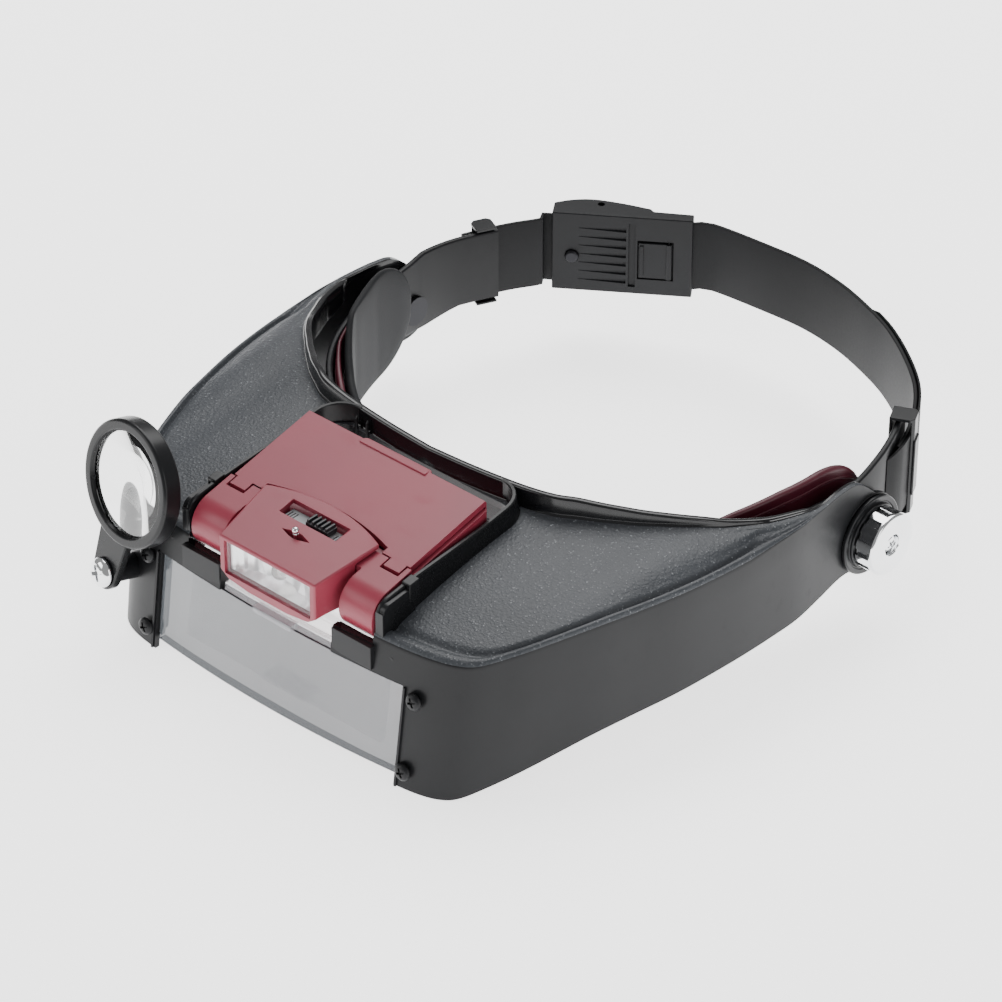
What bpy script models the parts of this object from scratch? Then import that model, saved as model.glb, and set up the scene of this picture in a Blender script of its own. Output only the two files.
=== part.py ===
"""Head visor magnifier: tilting visor with a main lens, a flip-up second lens, a lamp and a swing loupe,
on a headband with a forehead pad, rear straps and a buckle.

All shapes are given in millimetres in the visor's own frame: x to the wearer's left, -y forward, z up,
with zero at the middle of the main lens's lower edge. The empty "visor_frame" moves that frame so that
the world origin is at the bottom centre of the whole object's box.
"""

import math

import bmesh
import bpy
from mathutils import Matrix, Vector

MM = 0.001
GAP = 0.35

# Driving dimensions, in millimetres.
FRAME_SHIFT = (0.0, -107.1, 3.0)
TILT_AXIS = (144.0, 23.0)
WALL = 1.8
LEAN = math.tan(math.radians(8))
FRONT_BULGE = 2.5
LENS_HALF = 44.8
LENS_TOP = 27.3
BAY_HALF = 34.0
LEDGE_TOP = 35.5
NOTCH_HALF = 20.5
LAMP_HALF = 33.2
LAMP_AXIS = (12.5, 40.4)
BARREL_R = 7.8
COVER_SLOPE = math.tan(math.radians(12))
COVER_FRONT = (20.6, 50.1)
COVER_REAR_Y = 49.6
COVER_THICK = 1.8
TRAY_DEPTH = 14.8
CELL_DEPTH = 13.7
COVER_HINGE = (20.5, 50.0)
FLIP_AXIS = (10.6, 30.0)
KNOB_R = 9.2
KNOB_X = (90.2, 96.2)
STRAP_Z = (17.0, 40.0)
BUCKLE_AT = Vector((-68.5, 189.5, 0.0))
BUCKLE_ANGLE = math.radians(34.8)
BUCKLE_Z = (15.2, 41.8)
BUCKLE_MIDDLE = 27.2
RIVET_ALONG = 6.0
LATCH_PIN_ALONG = 35.0
LOUPE_PIVOT = Vector((-58.5, -3.5, 18.3))
LOUPE_NORMAL = Vector((-0.133, -0.967, 0.219)).normalized()
LOUPE_LEAN = math.radians(-8)
LOUPE_REACH = 29.2

BLACK = ("satin_black", (0.035, 0.036, 0.04, 1), 0.45, 0.0)
MAROON = ("maroon_plastic", (0.32, 0.05, 0.08, 1), 0.45, 0.0)
PAD_GREY = ("pad_grey", (0.06, 0.062, 0.068, 1), 0.8, 0.0)
CLEAR = ("clear_plastic", (0.75, 0.8, 0.83, 1), 0.05, 0.0)
SILVER = ("silver", (0.85, 0.86, 0.88, 1), 0.12, 1.0)
STEEL = ("steel", (0.55, 0.55, 0.56, 1), 0.3, 1.0)
SCALE = ("scale_grey", (0.5, 0.5, 0.5, 1), 0.5, 0.0)
CELL = ("cell_jacket", (0.08, 0.1, 0.12, 1), 0.35, 0.3)
BOARD = ("board_green", (0.03, 0.2, 0.08, 1), 0.5, 0.0)
GLOW = ("bulb", (0.95, 0.93, 0.85, 1), 0.1, 0.0)


# ---------------------------------------------------------------- helpers

def clear_scene():
    for obj in list(bpy.data.objects):
        bpy.data.objects.remove(obj)


def material(spec):
    name, colour, roughness, metallic = spec
    found = bpy.data.materials.get(name)
    if found:
        return found
    made = bpy.data.materials.new(name)
    made.use_nodes = True
    shader = made.node_tree.nodes["Principled BSDF"]
    shader.inputs["Base Color"].default_value = colour
    shader.inputs["Roughness"].default_value = roughness
    shader.inputs["Metallic"].default_value = metallic
    return made


def solid(name, points, faces, finish=BLACK):
    """A closed mesh object from points in millimetres, with its faces turned outwards."""
    mesh = bpy.data.meshes.new(name)
    mesh.from_pydata([Vector(p) * MM for p in points], [], faces)
    shape = bmesh.new()
    shape.from_mesh(mesh)
    bmesh.ops.remove_doubles(shape, verts=shape.verts, dist=1e-6)
    bmesh.ops.recalc_face_normals(shape, faces=shape.faces)
    if shape.calc_volume(signed=True) < 0:
        bmesh.ops.reverse_faces(shape, faces=shape.faces)
    shape.to_mesh(mesh)
    shape.free()
    mesh.materials.append(material(finish))
    obj = bpy.data.objects.new(name, mesh)
    bpy.context.scene.collection.objects.link(obj)
    return obj


def loft(name, rings, finish=BLACK):
    """A solid through a list of rings of equal length, closed by a flat face at each end."""
    count = len(rings[0])
    points = [p for ring in rings for p in ring]
    faces = [tuple(range(count)), tuple(len(points) - 1 - i for i in range(count))]
    for r in range(len(rings) - 1):
        for i in range(count):
            a = r * count + i
            b = r * count + (i + 1) % count
            faces.append((a, b, b + count, a + count))
    return solid(name, points, faces, finish)


def prism(name, outline, low, high, axis="z", finish=BLACK):
    """An outline pushed along an axis: (y, z) along x, (x, z) along y, or (x, y) along z."""
    place = {
        "x": lambda u, v, w: (w, u, v),
        "y": lambda u, v, w: (u, w, v),
        "z": lambda u, v, w: (u, v, w),
    }[axis]
    rings = [[place(u, v, w) for u, v in outline] for w in (low, high)]
    return loft(name, rings, finish)


def box(name, low, high, finish=BLACK):
    outline = [(low[0], low[1]), (high[0], low[1]), (high[0], high[1]), (low[0], high[1])]
    return prism(name, outline, low[2], high[2], "z", finish)


def arc(centre, radius, start, end, steps):
    """Points on an arc, in degrees, both ends included."""
    turn = [math.radians(start + (end - start) * i / steps) for i in range(steps + 1)]
    return [(centre[0] + radius * math.cos(t), centre[1] + radius * math.sin(t)) for t in turn]


def frame_of(axis, up=(0, 0, 1)):
    """A rotation whose third column is the axis, with its second column as near to up as it can be."""
    third = Vector(axis).normalized()
    first = Vector(up).cross(third)
    if first.length < 1e-6:
        first = Vector((1, 0, 0))
    first.normalize()
    second = third.cross(first)
    return Matrix((first, second, third)).transposed()


def turned(name, profile, centre, axis, steps=24, finish=BLACK):
    """A body turned about an axis. The profile is a closed run of (radius, height) points."""
    rotation = frame_of(axis)
    points = []
    faces = []
    count = len(profile)
    for s in range(steps):
        t = 2 * math.pi * s / steps
        for radius, height in profile:
            local = Vector((radius * math.cos(t), radius * math.sin(t), height))
            points.append(Vector(centre) + rotation @ local)
    for s in range(steps):
        n = (s + 1) % steps
        for i in range(count):
            j = (i + 1) % count
            if profile[i][0] < 1e-6 and profile[j][0] < 1e-6:
                continue
            faces.append((s * count + i, n * count + i, n * count + j, s * count + j))
    return solid(name, points, faces, finish)


def cylinder(name, centre, axis, radius, low, high, steps=20, finish=BLACK):
    profile = [(0, low), (radius, low), (radius, high), (0, high)]
    return turned(name, profile, centre, axis, steps, finish)


def boolean(obj, other, operation):
    modifier = obj.modifiers.new("shape", "BOOLEAN")
    modifier.operation = operation
    modifier.object = other
    bpy.context.view_layer.update()
    graph = bpy.context.evaluated_depsgraph_get()
    made = bpy.data.meshes.new_from_object(obj.evaluated_get(graph))
    obj.modifiers.clear()
    obj.data = made
    bpy.data.objects.remove(other)
    return obj


def cut(obj, *others):
    for other in others:
        boolean(obj, other, "DIFFERENCE")
    return obj


def join(obj, *others):
    for other in others:
        boolean(obj, other, "UNION")
    return obj


def pivot(obj, point):
    """Puts the object's origin on its joint, leaving its shape where it is."""
    at = Vector(point) * MM
    obj.data.transform(Matrix.Translation(-at))
    obj.location = at
    return obj


def smooth(points, step=5.0):
    """A Catmull-Rom curve through the points, with a point about every step."""
    ends = [2 * Vector(points[0]) - Vector(points[1])]
    ends += [Vector(p) for p in points]
    ends.append(2 * Vector(points[-1]) - Vector(points[-2]))
    made = []
    for i in range(1, len(ends) - 2):
        a, b, c, d = ends[i - 1:i + 3]
        count = max(1, round((c - b).length / step))
        for k in range(count):
            t = k / count
            made.append(0.5 * (2 * b + (c - a) * t + (2 * a - 5 * b + 4 * c - d) * t * t
                               + (3 * b - a - 3 * c + d) * t ** 3))
    made.append(ends[-2])
    return made


def both_sides(half):
    """Mirrors a run of points that starts on the middle plane, from the left end to the right end."""
    return [tuple(p) for p in reversed(half)] + [(-p[0],) + tuple(p[1:]) for p in half[1:]]


def outward(path):
    """Unit normals of a plan path that runs from the wearer's left round the front to the right."""
    made = []
    for i in range(len(path)):
        a = path[max(i - 1, 0)]
        b = path[min(i + 1, len(path) - 1)]
        step = Vector((b[0] - a[0], b[1] - a[1])).normalized()
        made.append(Vector((-step.y, step.x)))
    return made


def value_at(table, key):
    """Straight-line reading of a short table of (key, value) pairs."""
    if key <= table[0][0]:
        return table[0][1]
    for (k0, v0), (k1, v1) in zip(table, table[1:]):
        if key <= k1:
            return v0 + (v1 - v0) * (key - k0) / (k1 - k0)
    return table[-1][1]


def strip(name, path, inner, outer, low, high, finish=BLACK):
    """An upright band along a plan path, between two offsets and two heights (numbers or functions)."""
    normals = outward(path)
    rings = []
    for i, (p, n) in enumerate(zip(path, normals)):
        a = Vector(p[:2]) + n * inner
        b = Vector(p[:2]) + n * outer
        lo = low(i) if callable(low) else low
        hi = high(i) if callable(high) else high
        rings.append([(a.x, a.y, lo), (b.x, b.y, lo), (b.x, b.y, hi), (a.x, a.y, hi)])
    return loft(name, rings, finish)


def round_ends(path, radius):
    """The share of its full height that a band has at each point, for ends shaped like a half ellipse."""
    along = [0.0]
    for a, b in zip(path, path[1:]):
        along.append(along[-1] + (Vector(b[:2]) - Vector(a[:2])).length)

    def share(i):
        near = min(along[i], along[-1] - along[i])
        inset = max(0.0, 1 - near / radius)
        return math.sqrt(max(0.04, 1 - inset * inset))

    return share


# ---------------------------------------------------------------- visor shell

# Half of the visor's top outline, from the middle of the front to the rear end: x, y.
TOP_OUTLINE = [(0, 3.0), (17, 3.4), (33, 4.3), (44, 5.3), (53, 6.9), (59.5, 9.2), (63.6, 12.6),
               (67.6, 19), (71.8, 27.2), (77.9, 43.5), (81.4, 55.5), (84.6, 68.1), (86.6, 79),
               (88.3, 92), (89.1, 104.8), (89.2, 113.2), (88.6, 122.6), (87.7, 132.5),
               (87.3, 140), (87.2, 149)]
BOTTOM_OUTLINE = [(0, -2.9), (17, -2.6), (33, -1.6), (44, -0.4), (52.5, 0.9), (58.2, 3.0), (62, 6.3),
                  (65.6, 12.6), (70.4, 23.5), (76.9, 41), (80.5, 54), (83.7, 67), (85.8, 78.4),
                  (87.5, 91.6), (88.4, 104.4), (88.6, 113), (88.1, 122.4), (87.5, 132.4),
                  (87.3, 140), (87.2, 149)]
TOP_HEIGHT = [(12, 39.1), (27, 41.3), (44, 42.5), (132, 42.8), (139, 41.6), (145, 38), (149, 33)]
BOTTOM_HEIGHT = [(5, -3.0), (44, 6.5), (84, 9.5), (115.7, 10.8), (132, 13.4), (141, 13.0), (149, 14.5)]
# The brow: x, y, height of the rim's top, height at which the top panel meets the rim.
BROW = [(0, 62, 52.5, 46.5), (16, 62.7, 52.9, 46.8), (32, 64, 53.6, 47.5), (42, 65.8, 54.2, 48.0),
        (47.5, 68.6, 54.2, 48.2), (52.8, 71.9, 53.4, 48.0), (57, 75.3, 52.4, 47.6),
        (61.2, 78.8, 51.4, 47.2), (65, 82.4, 50.5, 46.9), (69.1, 86.2, 49.7, 46.6),
        (73.5, 91.1, 48.5, 46.1), (76.5, 95.2, 47.2, 45.4), (79.1, 99.7, 46.1, 44.8),
        (81.5, 104, 45.3, 44.3), (83.5, 108.1, 44.7, 43.9), (86.1, 116.9, 43.7, 43.2)]
PANEL_STATIONS = 16
RIM_THICK = 1.5
RIM_DEPTH = 8.0


def outer_walls():
    """The front and side walls as one band, leaning back at the front."""
    top = both_sides(TOP_OUTLINE)
    bottom = both_sides(BOTTOM_OUTLINE)
    top_normals = outward(top)
    bottom_normals = outward(bottom)
    rings = []
    for t, b, tn, bn in zip(top, bottom, top_normals, bottom_normals):
        high = value_at(TOP_HEIGHT, t[1])
        low = value_at(BOTTOM_HEIGHT, b[1])
        t_in = Vector(t) - tn * WALL
        b_in = Vector(b) - bn * WALL
        rings.append([(b[0], b[1], low), (t[0], t[1], high), (t_in.x, t_in.y, high), (b_in.x, b_in.y, low)])
    return loft("visor_shell", rings)


def top_panel():
    """The plate between the top outline and the brow, slightly crowned."""
    outline = both_sides(TOP_OUTLINE[:PANEL_STATIONS])
    brow = both_sides(BROW)
    normals = outward(outline)
    shares = (0.0, 0.35, 0.7, 1.0)
    crown = (0.0, 1.3, 1.0, 0.0)
    rings = []
    for o, n, b in zip(outline, normals, brow):
        start = Vector((o[0] - n.x * 0.9, o[1] - n.y * 0.9, value_at(TOP_HEIGHT, o[1])))
        end = Vector((b[0], b[1], b[3]))
        width = min(1.0, (end - start).length / 40)
        upper = [start.lerp(end, s) + Vector((0, 0, c * width)) for s, c in zip(shares, crown)]
        lower = [p - Vector((0, 0, WALL)) for p in reversed(upper)]
        rings.append(upper + lower)
    return loft("panel", rings)


def brow_rim():
    path = both_sides(BROW)
    return strip("rim", path, -RIM_THICK, 0.6, lambda i: path[i][2] - RIM_DEPTH, lambda i: path[i][2])


def bay_rib(side):
    """The raised rib along one side of the lamp bay, thicker at its front end."""
    inner = side * (BAY_HALF + 0.2)
    low, high = sorted((inner, inner + side * 1.5))
    outline = [(5.0, 33.0), (5.0, 46.5), (7.0, 48.4), (18.5, 49.6), (45, 51.5), (58, 53.0), (63, 53.2),
               (63, 45.6), (30, 40.5)]
    rib = prism("rib", outline, low, high, "x")
    low, high = sorted((inner, inner + side * 2.6))
    boss = prism("rib_front", [(5.2, 34.0), (5.2, 46.0), (7.2, 47.8), (18.0, 49.0), (18.0, 40.0)], low, high, "x")
    return join(rib, boss)


def lamp_trunnion(side):
    """The pin on which one end of the lamp's barrel turns."""
    low, high = sorted((side * 31.0, side * (BAY_HALF + 1.0)))
    return cylinder("trunnion", (0, *LAMP_AXIS), (1, 0, 0), 1.6, low, high, 14)


def ledge(side):
    """The step under one end of the barrel."""
    low, high = sorted((side * (NOTCH_HALF + 0.15), side * (BAY_HALF + 0.9)))
    return box("ledge", (low, 2.4, 28.2), (high, 6.1, LEDGE_TOP - 0.2))


def flip_bracket(side):
    """The ear behind the front wall that holds one end of the second lens's hinge bar."""
    low, high = sorted((side * 37.4, side * 41.0))
    ear = box("ear", (low, 4.4, 27.7), (high, 13.6, 34.0))
    return cut(ear, cylinder("hole", (0, *FLIP_AXIS), (1, 0, 0), 1.3, low - 1, high + 1, 14))


def visor_shell():
    shell = outer_walls()
    join(shell, top_panel(), brow_rim())
    corner = 7.0
    front = [(-BAY_HALF, -10), (BAY_HALF, -10)]
    rear = arc((BAY_HALF - corner, 61.4 - corner), corner, 0, 90, 5)
    rear += arc((corner - BAY_HALF, 61.4 - corner), corner, 90, 180, 5)
    cut(shell, prism("bay", front + rear, LEDGE_TOP, 80))
    cut(shell, box("lens_opening", (-LENS_HALF, -10, -12), (LENS_HALF, 12, LENS_TOP)))
    cut(shell, box("notch", (-NOTCH_HALF, -10, 20), (NOTCH_HALF, 12, 50)))
    for side in (1, -1):
        join(shell, bay_rib(side), lamp_trunnion(side), ledge(side), flip_bracket(side))
        disc = cylinder("disc", (0, *TILT_AXIS), (side, 0, 0), 12.0, 85.6, 87.5, 28)
        join(shell, disc)
        cut(shell, cylinder("bolt_hole", (0, *TILT_AXIS), (side, 0, 0), 2.6, 80, 92, 16))
        for x, z in SCREW_PLACES:
            at = (side * x, front_y(x, z), z)
            cut(shell, cylinder("screw_hole", at, FRONT_NORMAL, 1.6, -4, 4, 12))
    base = LOUPE_PIVOT - LOUPE_NORMAL * 2.2
    join(shell, cylinder("lug", base, LOUPE_NORMAL, 3.6, -8.3, 0, 18))
    cut(shell, cylinder("lug_hole", base, LOUPE_NORMAL, 1.8, -5.5, 2, 12))
    return shell


# ---------------------------------------------------------------- lenses and their fastenings

SCREW_PLACES = [(49.3, 24.7), (48.0, 2.9)]
FRONT_NORMAL = Vector((0.0, -math.cos(math.radians(8)), math.sin(math.radians(8))))


def front_y(x, z):
    """The y of the front wall's outer face."""
    return -FRONT_BULGE * (1 - (x / 45) ** 2) + LEAN * z


def plan_plate(name, halves, z_low, z_high, finish):
    """A plate that follows the front's bulge and lean. Each of halves is (x, front offset, rear offset)."""
    def outline(z):
        front = [(x, front_y(x, z) + f) for x, f, r in halves]
        rear = [(x, front_y(x, z) + r) for x, f, r in halves]
        left = [(-x, y) for x, y in reversed(front)]
        left_rear = [(-x, y) for x, y in rear]
        return left + front + list(reversed(rear)) + left_rear

    def ring(z):
        return [(x, y, z) for x, y in outline(z)]

    return loft(name, [ring(z_low), ring(z_high)], finish)


def main_lens():
    """The plate lens: its middle fills the opening and its thinner ears lie behind the pillars."""
    halves = [(8, 1.2, 4.2), (20, 1.2, 4.0), (32, 1.2, 3.8), (44.4, 1.2, 3.7), (44.5, 2.5, 3.8), (53, 2.9, 4.1)]
    lens = plan_plate("main_lens", halves, 0.0, LENS_TOP - 0.3, CLEAR)
    lip_halves = [(4, 1.6, 3.4), (12, 1.6, 3.4), (NOTCH_HALF - 0.5, 1.6, 3.4)]
    join(lens, plan_plate("lip", lip_halves, LENS_TOP - 1.5, 29.6, CLEAR))
    join(lens, box("tab", (-7, 0.9, 27.3), (7, 4.0, 29.3)))
    for side in (1, -1):
        for x, z in SCREW_PLACES:
            at = (side * x, front_y(x, z), z)
            cut(lens, cylinder("hole", at, FRONT_NORMAL, 1.6, -8, 4, 12))
    return lens


def lens_clip(name, side):
    """The plate behind one ear of the main lens, into which its two screws go."""
    halves = [(45.8, 4.5, 6.2), (53.2, 4.5, 6.2)]
    rings = []
    for z in (0.4, 26.9):
        ring = [(side * x, front_y(x, z) + f, z) for x, f, r in halves]
        ring += [(side * x, front_y(x, z) + r, z) for x, f, r in reversed(halves)]
        rings.append(ring)
    clip = loft(name, rings)
    for x, z in SCREW_PLACES:
        at = (side * x, front_y(x, z), z)
        cut(clip, cylinder("hole", at, FRONT_NORMAL, 1.6, -10, 4, 12))
    return clip


def lens_screw(name, side, x, z):
    at = Vector((side * x, front_y(x, z), z)) + FRONT_NORMAL * 0.75
    profile = [(0, -6.6), (1.2, -6.6), (1.2, -0.1), (2.5, -0.1), (2.5, 0.4), (1.9, 1.0), (0, 1.2)]
    return turned(name, profile, at, FRONT_NORMAL, 16, BLACK)


def flip_lens():
    """The second lens: a flat plate under a hinge bar, with a thumb lip at its lower edge."""
    y0 = FLIP_AXIS[0] - 3.3
    plate = [(y0 - LEAN * 24, 4.0), (y0 + 2.4 - LEAN * 24, 4.0), (y0 + 2.6, 29.0), (y0 + 1.0, 29.0)]
    lens = prism("flip_lens", plate, -36, 36, "x", CLEAR)
    join(lens, cylinder("bar", (0, *FLIP_AXIS), (1, 0, 0), 1.8, -36.6, 36.6, 14))
    join(lens, cylinder("pins", (0, *FLIP_AXIS), (1, 0, 0), 0.9, -40.4, 40.4, 12))
    join(lens, box("thumb_lip", (-8, y0 - LEAN * 23, 3.0), (8, y0 + 3.4, 4.6)))
    return pivot(lens, (0, *FLIP_AXIS))


# ---------------------------------------------------------------- lamp

def cover_top(y):
    return COVER_FRONT[1] + COVER_SLOPE * (y - COVER_FRONT[0])


def tray_top(y):
    return cover_top(y) - COVER_THICK - GAP


def lamp_base():
    """The barrel and the battery tray behind it."""
    y_seam = COVER_FRONT[0] - 0.3
    barrel = arc(LAMP_AXIS, BARREL_R, 100, 262, 12)
    y_rear = COVER_REAR_Y - 0.4
    outline = barrel + [(y_seam + 2, cover_top(y_seam) - TRAY_DEPTH), (y_rear, cover_top(y_rear) - TRAY_DEPTH),
                        (y_rear, tray_top(y_rear)), (y_seam, tray_top(y_seam)), (y_seam, cover_top(y_seam))]
    base = prism("lamp_base", outline, -LAMP_HALF, LAMP_HALF, "x", MAROON)
    cut(base, prism("head_room", [(-5, 25), (13.6, 25), (13.6, 60), (-5, 60)], -21.3, 21.3, "x"))
    room_front, room_rear, above = 23.4, 46.8, 62
    cell_room = [(room_front, cover_top(room_front) - CELL_DEPTH), (room_rear, cover_top(room_rear) - CELL_DEPTH),
                 (room_rear, above), (room_front, above)]
    cut(base, prism("cell_room", cell_room, -26.2, 26.2, "x"))
    cut(base, box("board_room", (-11.2, 15.0, 43.6), (11.2, 21.4, 60)))
    for side in (1, -1):
        low, high = sorted((side * 30.6, side * 40))
        cut(base, cylinder("trunnion_hole", (0, *LAMP_AXIS), (1, 0, 0), 1.95, low, high, 14))
        low, high = sorted((side * 25.0, side * 31.5))
        cut(base, box("tongue_room", (low, 16.6, 44.8), (high, 23.8, 60)))
    return pivot(base, (0, *LAMP_AXIS))


def hood_plan():
    rear = arc((0, -31.2), 56.2, 68.1, 111.9, 8)
    return [(-17.5, -0.2), (17.5, -0.2)] + rear


def lamp_hood():
    """The lamp head: a wedge-shaped cap over the bulb that reaches back over the switch."""
    hood = prism("lamp_hood", hood_plan(), 25, 60, "z", MAROON)
    above = [(-10, 46.35), (30, 53.65), (30, 70), (-10, 70)]
    cut(hood, prism("above", above, -40, 40, "x"))
    under = [(13.3, 20), (13.3, cover_top(13.3) + GAP), (40, cover_top(40) + GAP), (40, 20)]
    cut(hood, prism("under", under, -40, 40, "x"))
    below = [(-40, 10), (40, 10), (40, 38.8), (18, 37.4), (14.5, 34.9), (7, 33.9), (-7, 33.9), (-14.5, 34.9),
             (-18, 37.4), (-40, 38.8)]
    cut(hood, prism("below", below, -10, 14, "y"))
    cut(hood, box("bulb_room", (-15.7, -4, 36.6), (15.7, 12.6, 47.0)))
    cut(hood, box("switch_slot", (-10.4, 15.4, 44), (10.4, 20.9, 60)))
    slot = [(-5.0, 11.0), (-1.5, 9.6), (1.5, 9.6), (5.0, 11.0), (1.5, 12.4), (-1.5, 12.4)]
    cut(hood, prism("lever_slot", slot, 46, 60, "z"))
    return pivot(hood, (0, *LAMP_AXIS))


def reflector():
    body = box("reflector", (-15.3, 1.9, 37.0), (15.3, 8.6, 46.6), SILVER)
    bowl = turned("bowl", [(0, -9)] + arc((0, 0), 9, -70, 70, 6) + [(0, 9)], (0, 0, 0), (0, 0, 1), 20)
    bowl.data.transform(Matrix.Diagonal((1.55, 0.68, 0.5, 1)))
    bowl.data.transform(Matrix.Translation(Vector((0, 1.2, 41.9)) * MM))
    cut(body, bowl)
    cut(body, box("bulb_slot", (-5.4, 0, 38.9), (5.4, 12, 44.9)))
    return pivot(body, (0, *LAMP_AXIS))


def bulb():
    profile = [(0, -4.0), (2.5, -4.0)] + arc((0, 2.2), 2.5, 0, 90, 4)[:-1] + [(0, 4.7)]
    return turned("bulb", profile, (0, 7.2, 41.9), (0, -1, 0), 14, GLOW)


def bulb_carrier():
    """The slide that carries the bulb, with the lever pin standing on it."""
    carrier = box("bulb_carrier", (-5.6, 11.55, 38.4), (5.6, 12.2, 46.6), STEEL)
    join(carrier, box("shelf", (-2.2, 9.4, 45.6), (2.2, 12.0, 46.6)))
    return carrier


def aim_lever():
    profile = [(0, 46.9), (0.65, 46.9), (0.65, 50.9), (1.0, 51.2), (1.0, 52.2), (0.6, 52.7), (0, 52.8)]
    return turned("aim_lever", profile, (0, 11.0, 0), (0, 0, 1), 14, SILVER)


def window_lens():
    outline = [(-15.3, 37.0), (15.3, 37.0), (15.3, 46.6), (-15.3, 46.6)]
    return prism("lamp_window", outline, 0.4, 1.4, "y", CLEAR)


def switch_parts():
    made = [
        box("circuit_board", (-10.6, 15.4, 44.2), (10.6, 21.0, 45.4), BOARD),
        box("scale_plate", (-10.0, 15.8, 47.6), (10.0, 20.5, 49.2), SCALE),
    ]
    slider = box("switch_slider", (-1.5, 16.2, 49.6), (6.5, 20.1, 51.4), BLACK)
    for k in range(4):
        x = -0.5 + 1.9 * k
        join(slider, box("ridge", (x, 16.5, 51.0), (x + 0.8, 19.8, 52.1)))
    return made + [slider]


def cell_height(y):
    """The height of a cell's middle line, just under the cover."""
    return tray_top(y) - 5.85


def battery(name, y):
    z = cell_height(y)
    profile = [(0, -21.6), (5.2, -21.6), (5.2, 21.6), (1.9, 21.6), (1.9, 22.4), (0, 22.4)]
    return turned(name, profile, (0, y, z), (1, 0, 0), 16, CELL)


def contact_plate(name, side):
    low, high = sorted((side * 25.2, side * 25.8))
    outline = [(24.2, 41.6), (46.2, 46.3), (46.2, 52.0), (24.2, 47.4)]
    return prism(name, outline, low, high, "x", STEEL)


def contact_spring(name, y):
    """A two-and-a-half-turn coil that presses on the flat end of a cell."""
    z = cell_height(y)
    turns = 2.5
    per_turn = 10
    pitch = 0.83
    widest, narrowing = 3.4, 1.2
    wire = 0.25
    sides = 6
    count = int(turns * per_turn) + 1
    rings = []
    for i in range(count):
        t = 2 * math.pi * i / per_turn
        reach = widest - narrowing * i / count
        x = -24.75 + pitch * i / per_turn
        spoke = Vector((0, math.cos(t), math.sin(t)))
        centre = Vector((x, y, z)) + spoke * reach
        ring = []
        for k in range(sides):
            a = 2 * math.pi * k / sides
            ring.append(centre + spoke * wire * math.cos(a) + Vector((1, 0, 0)) * wire * math.sin(a))
        rings.append(ring)
    return loft(name, rings, STEEL)


def battery_cover():
    """The lid: a plate with two front tongues, a rear lip and a finger tab."""
    y0 = COVER_FRONT[0] + 0.1
    y1 = COVER_REAR_Y
    t = COVER_THICK
    z0 = cover_top(y0)
    z1 = cover_top(y1)
    outline = [(y0, z0), (y1, z1), (y1 + 0.5, z1 - 0.8), (y1 + 0.5, z1 - 5), (y1 - 0.1, z1 - 5),
               (y1 - 0.1, z1 - t), (y0, z0 - t)]
    cover = prism("battery_cover", outline, -32.2, 32.2, "x", MAROON)
    tab = [(y1, cover_top(y1) - 0.3), (y1 + 1.6, cover_top(y1) - 0.4), (y1 + 1.6, cover_top(y1) - 2.4),
           (y1, cover_top(y1) - 2.6)]
    join(cover, prism("tab", tab, -12.2, 12.2, "x"))
    wedge = [(10, 30), (28.9, 30), (26.5, cover_top(27)), (26.1, 60), (10, 60)]
    cut(cover, prism("hood_room", wedge, -22.0, 22.0, "x"))
    for side in (1, -1):
        low, high = sorted((side * 25.5, side * 31.0))
        tongue = [(17.6, cover_top(17.6)), (21.4, cover_top(21.4)), (21.4, cover_top(21.4) - t),
                  (17.6, cover_top(17.6) - t)]
        join(cover, prism("tongue", tongue, low, high, "x"))
    return pivot(cover, (0, *COVER_HINGE))


# ---------------------------------------------------------------- loupe

def loupe_point(across, along, out):
    """A point in the loupe's own frame: across its arm, along it, and out along its axis."""
    axes = frame_of(LOUPE_NORMAL) @ Matrix.Rotation(LOUPE_LEAN, 3, "Z")
    return LOUPE_PIVOT + axes @ Vector((across, along, out))


def loupe_parts():
    """The frame with its arm, the lens, the retaining ring, the pivot screw and its washer."""
    centre = loupe_point(0, LOUPE_REACH, 0)
    rim = [(14.6, 1.6), (15.4, 2.1), (17.4, 2.1), (18.0, 1.6), (18.0, -3.1), (17.4, -3.6), (15.6, -3.6),
           (15.6, 1.0), (14.6, 1.0)]
    frame = turned("loupe_frame", rim, centre, LOUPE_NORMAL, 36, BLACK)
    sides = [(-5.0, 0), (-6.0, LOUPE_REACH - 16.4), (6.0, LOUPE_REACH - 16.4), (5.0, 0)]
    foot = arc((0, 0), 5.0, 0, -180, 8)[1:-1]
    outline = sides + foot
    arm = loft("arm", [[loupe_point(u, v, w) for u, v in outline] for w in (-1.3, 1.3)])
    join(frame, arm)
    cut(frame, cylinder("hole", LOUPE_PIVOT, LOUPE_NORMAL, 1.8, -5, 5, 14))
    lens_profile = [(0, -2.6), (8, -2.1), (15.2, -0.7), (15.2, 0.6), (8, 2.0), (0, 2.5)]
    lens = turned("loupe_lens", lens_profile, centre, LOUPE_NORMAL, 32, CLEAR)
    ring_profile = [(14.2, -1.25), (15.2, -1.25), (15.2, -2.6), (14.2, -2.6)]
    ring = turned("loupe_ring", ring_profile, centre, LOUPE_NORMAL, 32, BLACK)
    screw_profile = [(0, -7.0), (1.45, -7.0), (1.45, 1.7), (4.2, 1.7), (4.2, 2.8), (3.4, 3.6), (0, 3.9)]
    screw = turned("loupe_screw", screw_profile, LOUPE_PIVOT, LOUPE_NORMAL, 20, SILVER)
    washer_profile = [(1.8, -1.9), (3.2, -1.9), (3.2, -1.6), (1.8, -1.6)]
    washer = turned("loupe_washer", washer_profile, LOUPE_PIVOT, LOUPE_NORMAL, 20, STEEL)
    for piece in (frame, lens, ring):
        pivot(piece, LOUPE_PIVOT)
    return [frame, lens, ring, screw, washer]


# ---------------------------------------------------------------- tilt knobs and bolts

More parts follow.
